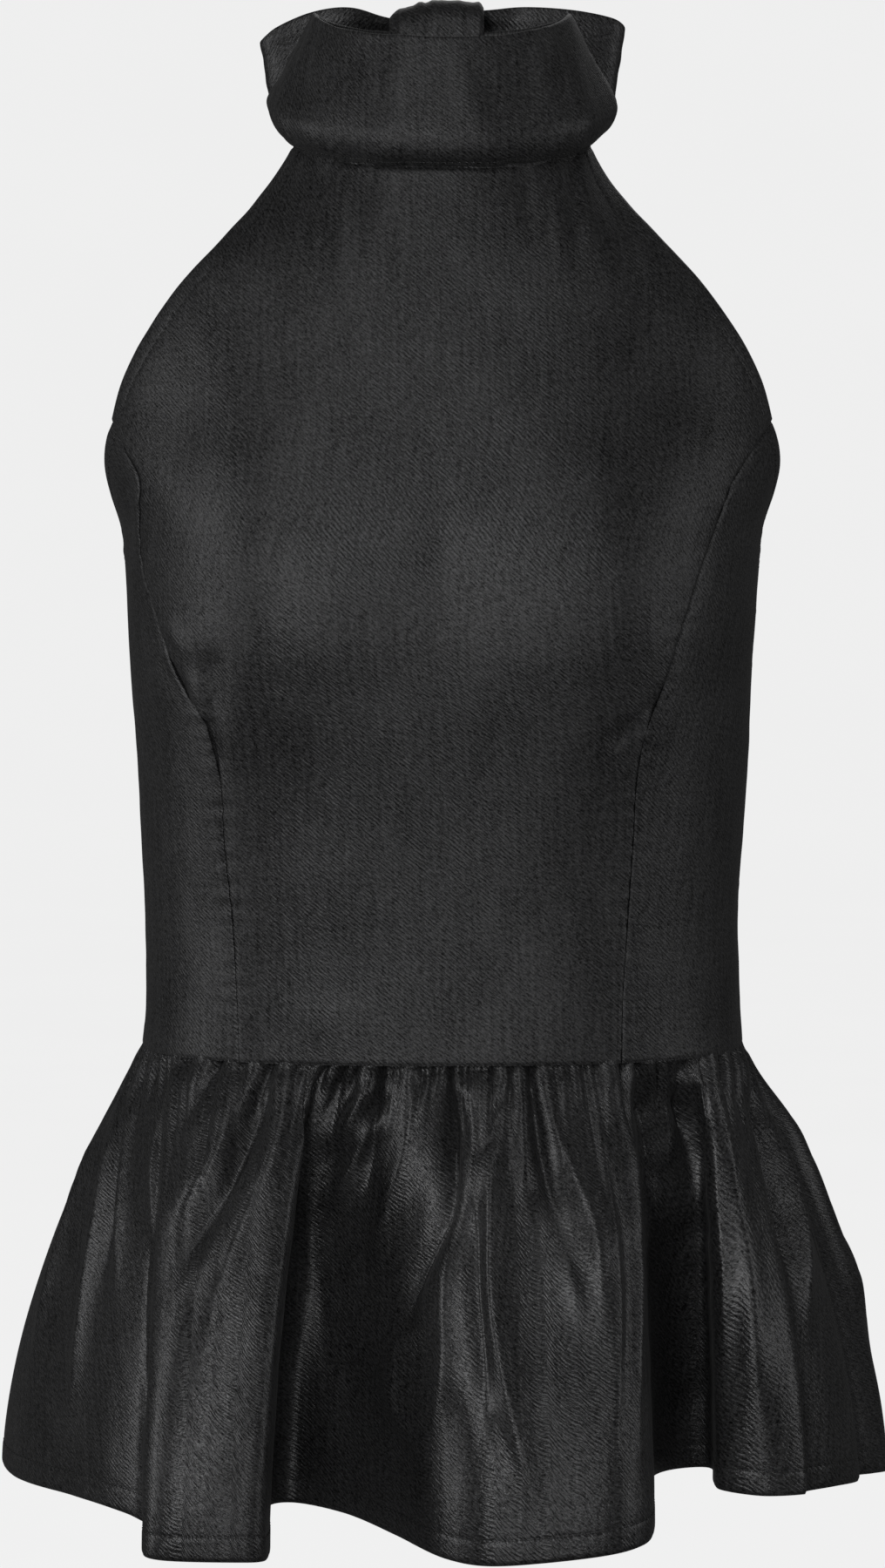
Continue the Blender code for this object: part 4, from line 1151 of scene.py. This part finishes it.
def peplum_strip(seam):
    """The cloth turned in along a side seam of the peplum."""
    spread = math.radians(4.5)
    waist, x, y, fall = peplum_half(math.radians(seam) - spread, math.radians(seam) + spread, 60)
    share = np.linspace(0.0, 0.985, 40)
    top = body_point(waist, np.full_like(waist, WAIST))[:, :2]
    level = top + (np.stack([x, y], axis=-1) - top) * (1 - (1 - share) ** FLARE)[:, None, None]
    height = WAIST - SEAM_GAP / 2 - fall[None, :] * share[:, None]
    grid = np.concatenate([level, height[..., None]], axis=-1)[::-1, 1:-1]
    strip = []
    for row in grid:
        run = np.concatenate([[0], np.cumsum(np.linalg.norm(np.diff(row, axis=0), axis=1))])
        middle = np.interp(math.radians(seam), waist[1:-1], run)
        at = middle + np.linspace(-SEAM_ALLOWANCE, SEAM_ALLOWANCE, 7)
        strip.append(np.stack([np.interp(at, run, row[:, k]) for k in range(3)], axis=-1))
    strip = np.array(strip)
    return strip - facing(strip) * (CLOTH + STRIP_DROP + 0.0009)


def make_peplum(name, node, start, end, material, sewing):
    """One half of the peplum, with its turned hem."""
    grid, share, _, metres_round = peplum_grid(start, end)
    hem = from_edge(grid, "foot")
    face = grid + facing(grid) * turned_edge(hem, HEM_STITCH_UP)[..., None]
    thickness = CLOTH + (TURNED_CLOTH - CLOTH) * (1 - ramp((hem - HEM_STITCH_UP) / 0.001))
    weave = weave_of(face)
    middle = metres_round[len(share) * 2 // 3]
    weave[..., 0] = 0.55 * weave[..., 0] + 0.45 * (middle - middle[len(middle) // 2])
    worn(
        shell(name, face, thickness, material, weave, [peplum_strip(end)]),
        node,
    )
    sewing.append(line_at(face.swapaxes(0, 1), hem.swapaxes(0, 1), HEM_STITCH_UP))


def make_collar(material, sewing):
    """The collar band, folded double: its outer layer, its rounded top and its inner layer."""
    share = finer_at_edges(COLLAR_ROWS, 0.055)[:, None]
    ends = []
    for knot_side in (KNOT[0].across + 0.003, KNOT[-1].across - 0.003):
        depth = column(COLLAR, "back", share, "share")
        part = np.abs(knot_side) / column(COLLAR, "side", share, "share")
        depth = depth * (1 - part**COLLAR_SQUARENESS) ** (1 / COLLAR_SQUARENESS)
        ends.append(np.arctan2(knot_side, -depth))
    angle = ends[0] + (ends[1] - ends[0]) * np.linspace(0, 1, COLLAR_COLUMNS + 1)[None, :]
    grid = collar_point(angle, share + 0 * angle)
    foot, top = from_edge(grid, "foot"), from_edge(grid, "top")
    weave = weave_of(grid)
    across, up = weave[..., 0], weave[..., 1]
    wave = 0.00022 * wander(across + up * 0.3, 51, 0.014, 0.050) * ramp(top / 0.03 + 0.3)
    wave = wave + 0.00028 * ground(across, up, 52, 0.020, 0.060)
    for fold in COLLAR_FOLDS:
        at = np.radians(fold.angle + (fold.top_angle - fold.angle) * share)
        wave = wave + fold.out * hump((angle - at) * 0.065, fold.width) * ramp(foot / 0.008)
    stitched = -0.0003 * hump(foot - COLLAR_STITCH_UP, 0.0007) + 0.0003 * hump(foot - 0.0005, 0.0012)
    face = grid + facing(grid) * (wave + stitched)[..., None]
    back = face - facing(face) * COLLAR_CLOTH
    over = np.linspace(0, math.pi, 7)[1:-1]
    middle, half = (face[-1] + back[-1]) / 2, (face[-1] - back[-1]) / 2
    up_way = facing(face)[-1]
    rise = np.cross(np.gradient(face[-1], axis=0), up_way)
    rise = -rise / np.linalg.norm(rise, axis=1, keepdims=True)
    rise = np.where(rise[:, 2:] < 0, -rise, rise)
    turn = [middle + half * math.cos(a) + rise * (COLLAR_CLOTH / 2) * math.sin(a) for a in over]
    inner = back[::-1]
    sections = np.concatenate([face, np.array(turn), inner, face[:1]])
    flat = np.concatenate([weave, np.repeat(weave[-1:], len(turn), axis=0), weave[::-1], weave[:1]])
    faces = grid_faces(*sections.shape[:2], 0, False)
    made = piece("collar_band", sections.reshape(-1, 3), faces, flat, material)
    worn(made, "collar")
    sewing.append(line_at(face.swapaxes(0, 1), foot.swapaxes(0, 1), COLLAR_STITCH_UP))


def make_knot(material):
    """The cloth wrapped round the middle of the bow, open inside, its ends drawn in round the loops."""
    order = np.linspace(0, 1, KNOT_RINGS)
    first, last = KNOT[0].across, KNOT[-1].across
    across = first + (last - first) * ((1 - np.cos(math.pi * order)) / 2)
    turn = np.linspace(0, 2 * math.pi, KNOT_COLUMNS, endpoint=False)[None, :]
    rings = []
    for x in across:
        half_depth, top, bottom = (column(KNOT, n, x, "across") for n in ("half_depth", "top", "bottom"))
        half_height = (top - bottom) / 2
        radius = rounded_square(turn[0], half_depth, half_height, half_height, KNOT_SQUARENESS)
        pleat = 0.00030 * wander(x + 0.001 * np.sin(turn[0] * 2), 61, 0.0045, 0.010)
        radius = radius + pleat * (0.55 + 0.45 * np.cos(turn[0] * 2 + 0.6))
        y = KNOT_BACK_SET + radius * np.sin(turn[0])
        z = bottom + half_height + radius * np.cos(turn[0])
        rings.append(np.stack([np.full_like(y, x), y, z], axis=-1))
    rings = np.array(rings)
    centre = rings.mean(axis=1, keepdims=True)

    def drawn_in(ring, middle, size, step):
        return middle + (ring - middle) * size + (step, 0, 0)

    drawn = ((0.62, 0.0030), (0.80, 0.0006), (0.93, 0.0001))
    ends = [drawn_in(rings[0], centre[0], size, step) for size, step in drawn]
    caps = [drawn_in(rings[-1], centre[-1], size, -step) for size, step in drawn[::-1]]
    outer = np.concatenate([ends, rings, caps])
    middle = outer.mean(axis=1, keepdims=True)
    inner = middle + (outer - middle) * 0.90
    sections = np.concatenate([outer, inner[::-1], outer[:1]])
    run = np.linalg.norm(np.diff(outer[:, 0], axis=0), axis=1)
    run = np.concatenate([[0], np.cumsum(run)])
    level = 0 * turn + 0 * run[:, None]
    flat = np.stack([run[:, None] + level, turn * 0.022 + level, level], axis=-1)
    flat = np.concatenate([flat, flat[::-1], flat[:1]])
    faces = grid_faces(*sections.shape[:2], 0, True, round_it=True)
    made = piece("bow_knot_wrap", sections.reshape(-1, 3), faces, flat, material)
    worn(made, "bow_knot")


def make_loop(name, node, stations, side, knot_side, seed, material):
    """One open loop of the bow: a double band that leaves the knot, turns at its tip and comes back."""
    along = np.linspace(0, len(stations) - 1, LOOP_COLUMNS + 1)
    order = np.arange(len(stations))
    reach, back_set, top, bottom = (
        smooth(order, [getattr(s, c) for s in stations], along) for c in LoopStation._fields
    )
    share = np.linspace(0, 1, LOOP_ROWS + 1)[:, None]
    x = knot_side + side * (np.maximum(reach, 0) * (1 - 0.10 * (1 - share)) - 0.003 * hump(reach, 0.004))
    middle = np.stack([x, back_set + 0 * share, bottom + (top - bottom) * share], axis=-1)
    run = np.gradient(middle, axis=1)
    level = np.stack([-run[..., 1], run[..., 0], 0 * run[..., 0]], axis=-1)
    level[:, 0] = level[:, -1] = (0, 1, 0)
    level[:, 0] *= side
    level[:, -1] *= -side
    level /= np.linalg.norm(level, axis=-1, keepdims=True)
    near = np.exp(-reach / 0.022)
    chance = np.random.RandomState(seed)
    ripple = 0
    for waves in (1.6, 2.7, 4.3):
        ripple = ripple + np.cos(2 * math.pi * (waves * share + chance.rand() + 0.25 * np.sin(along * 0.7)))
    middle = middle + level * (0.00045 * ripple * (0.15 + near))[..., None]
    half = BOW_CLOTH / 2 * level
    face, back = middle + half, middle - half
    edge = np.linspace(0, math.pi, 6)[1:-1]
    up = np.array([0, 0, 1])
    over = [middle[-1] + half[-1] * math.cos(a) + up * (BOW_CLOTH / 2) * math.sin(a) for a in edge]
    under = [middle[0] - half[0] * math.cos(a) - up * (BOW_CLOTH / 2) * math.sin(a) for a in edge]
    sections = np.concatenate([face, over, back[::-1], under, face[:1]])
    weave = weave_of(middle)
    flat = np.concatenate([weave, [weave[-1]] * len(over), weave[::-1], [weave[0]] * len(under), weave[:1]])
    faces = grid_faces(*sections.shape[:2], 0, side > 0)
    made = piece(name, sections.reshape(-1, 3), faces, flat, material)
    worn(made, node)


def softbox(light):
    """A soft square light that the camera doesn't see."""
    data = bpy.data.lights.new(light.name, "AREA")
    data.shape = "RECTANGLE"
    data.size, data.size_y = light.size
    data.energy = light.power
    made = bpy.data.objects.new(light.name, data)
    made.location = light.place
    way = np.array(LIGHTS_FACE, float) - np.array(light.place, float)
    made.rotation_euler = Vector(way).to_track_quat("-Z", "Y").to_euler()
    made.visible_camera = False
    bpy.context.scene.collection.objects.link(made)


def make_studio():
    """The pale floor, the soft lights and the camera at the photo's angle."""
    finish = Finish("pale_floor", Roughness=0.9, Specular_IOR_Level=0.1, Emission_Strength=COVE_GLOW)
    place = finish.node("ShaderNodeTexCoord", {}, {}).part("Object")
    mottle = finish.grain(place, 3.0, 3.0, 0.5)
    colour = finish.blend(mottle, (0.10, 0.10, 0.10, 1), (0.12, 0.12, 0.12, 1))
    glow = finish.blend(mottle, (0.98, 0.98, 0.98, 1), (1.0, 1.0, 1.0, 1))
    material = finish.shade(Base_Color=colour, Emission_Color=glow)
    turn = np.linspace(0, math.pi / 2, 24)
    bend = [(COVE_BACK + COVE_TURN * math.sin(a), COVE_FLOOR + COVE_TURN * (1 - math.cos(a))) for a in turn]
    curve = [(-COVE_REACH, COVE_FLOOR)] + bend + [(COVE_BACK + COVE_TURN, COVE_TOP)]
    points = np.array([[(x, y, z) for x in (-COVE_REACH, COVE_REACH)] for y, z in curve])
    cove = piece("pale_cove", points, grid_faces(len(curve), 2, 0, False), points, material)
    cove.visible_diffuse = cove.visible_glossy = False

    world = bpy.data.worlds.new("pale_room")
    world.use_nodes = True
    bpy.context.scene.world = world
    tree = world.node_tree
    seen, lit = tree.nodes["Background"], tree.nodes.new("ShaderNodeBackground")
    seen.inputs["Color"].default_value = (1, 1, 1, 1)
    seen.inputs["Strength"].default_value = ROOM_SEEN
    lit.inputs["Color"].default_value = (1, 1, 1, 1)
    lit.inputs["Strength"].default_value = ROOM_LIGHT
    path, mix = tree.nodes.new("ShaderNodeLightPath"), tree.nodes.new("ShaderNodeMixShader")
    tree.links.new(path.outputs["Is Camera Ray"], mix.inputs[0])
    tree.links.new(lit.outputs[0], mix.inputs[1])
    tree.links.new(seen.outputs[0], mix.inputs[2])
    tree.links.new(mix.outputs[0], tree.nodes["World Output"].inputs["Surface"])

    for light in LIGHTS:
        softbox(light)

    scene = bpy.context.scene
    scene.view_settings.view_transform = "Standard"
    data = bpy.data.cameras.new("camera")
    data.sensor_width = SENSOR
    data.lens = FOCAL_PIXELS / PHOTO_HEIGHT * SENSOR
    data.shift_x = (PHOTO_WIDTH / 2 - PHOTO_CENTRE_COLUMN) / PHOTO_HEIGHT
    camera = bpy.data.objects.new("camera", data)
    camera.location = CAMERA_PLACE
    camera.rotation_euler = (math.radians(90 - CAMERA_PITCH), 0, 0)
    scene.collection.objects.link(camera)
    scene.camera = camera


def make_top():
    """Every piece of the top in its own satin, and the sewing that shows."""
    bodice, peplum = satin("bodice_satin", gloss=0.46), satin("peplum_satin", gloss=0.34)
    collar, bow = satin("collar_satin", gloss=0.50), satin("bow_satin", gloss=0.42)
    sewing = {"armhole": [], "hem": [], "collar": []}
    make_bodice(bodice, sewing["armhole"])
    make_peplum("peplum_front_cloth", "peplum_front", -SIDE_SEAM, SIDE_SEAM, peplum, sewing["hem"])
    make_peplum("peplum_back_cloth", "peplum_back", SIDE_SEAM, 360 - SIDE_SEAM, peplum, sewing["hem"])
    make_collar(collar, sewing["collar"])
    make_knot(bow)
    make_loop("bow_loop_right_cloth", "bow_loop_right", RIGHT_LOOP, -1, KNOT[0].across, 71, bow)
    make_loop("bow_loop_left_cloth", "bow_loop_left", LEFT_LOOP, 1, KNOT[-1].across, 72, bow)
    black = thread()
    for place, lines in sewing.items():
        stitches(lines, place + "_stitches", black)


make_studio()
make_top()
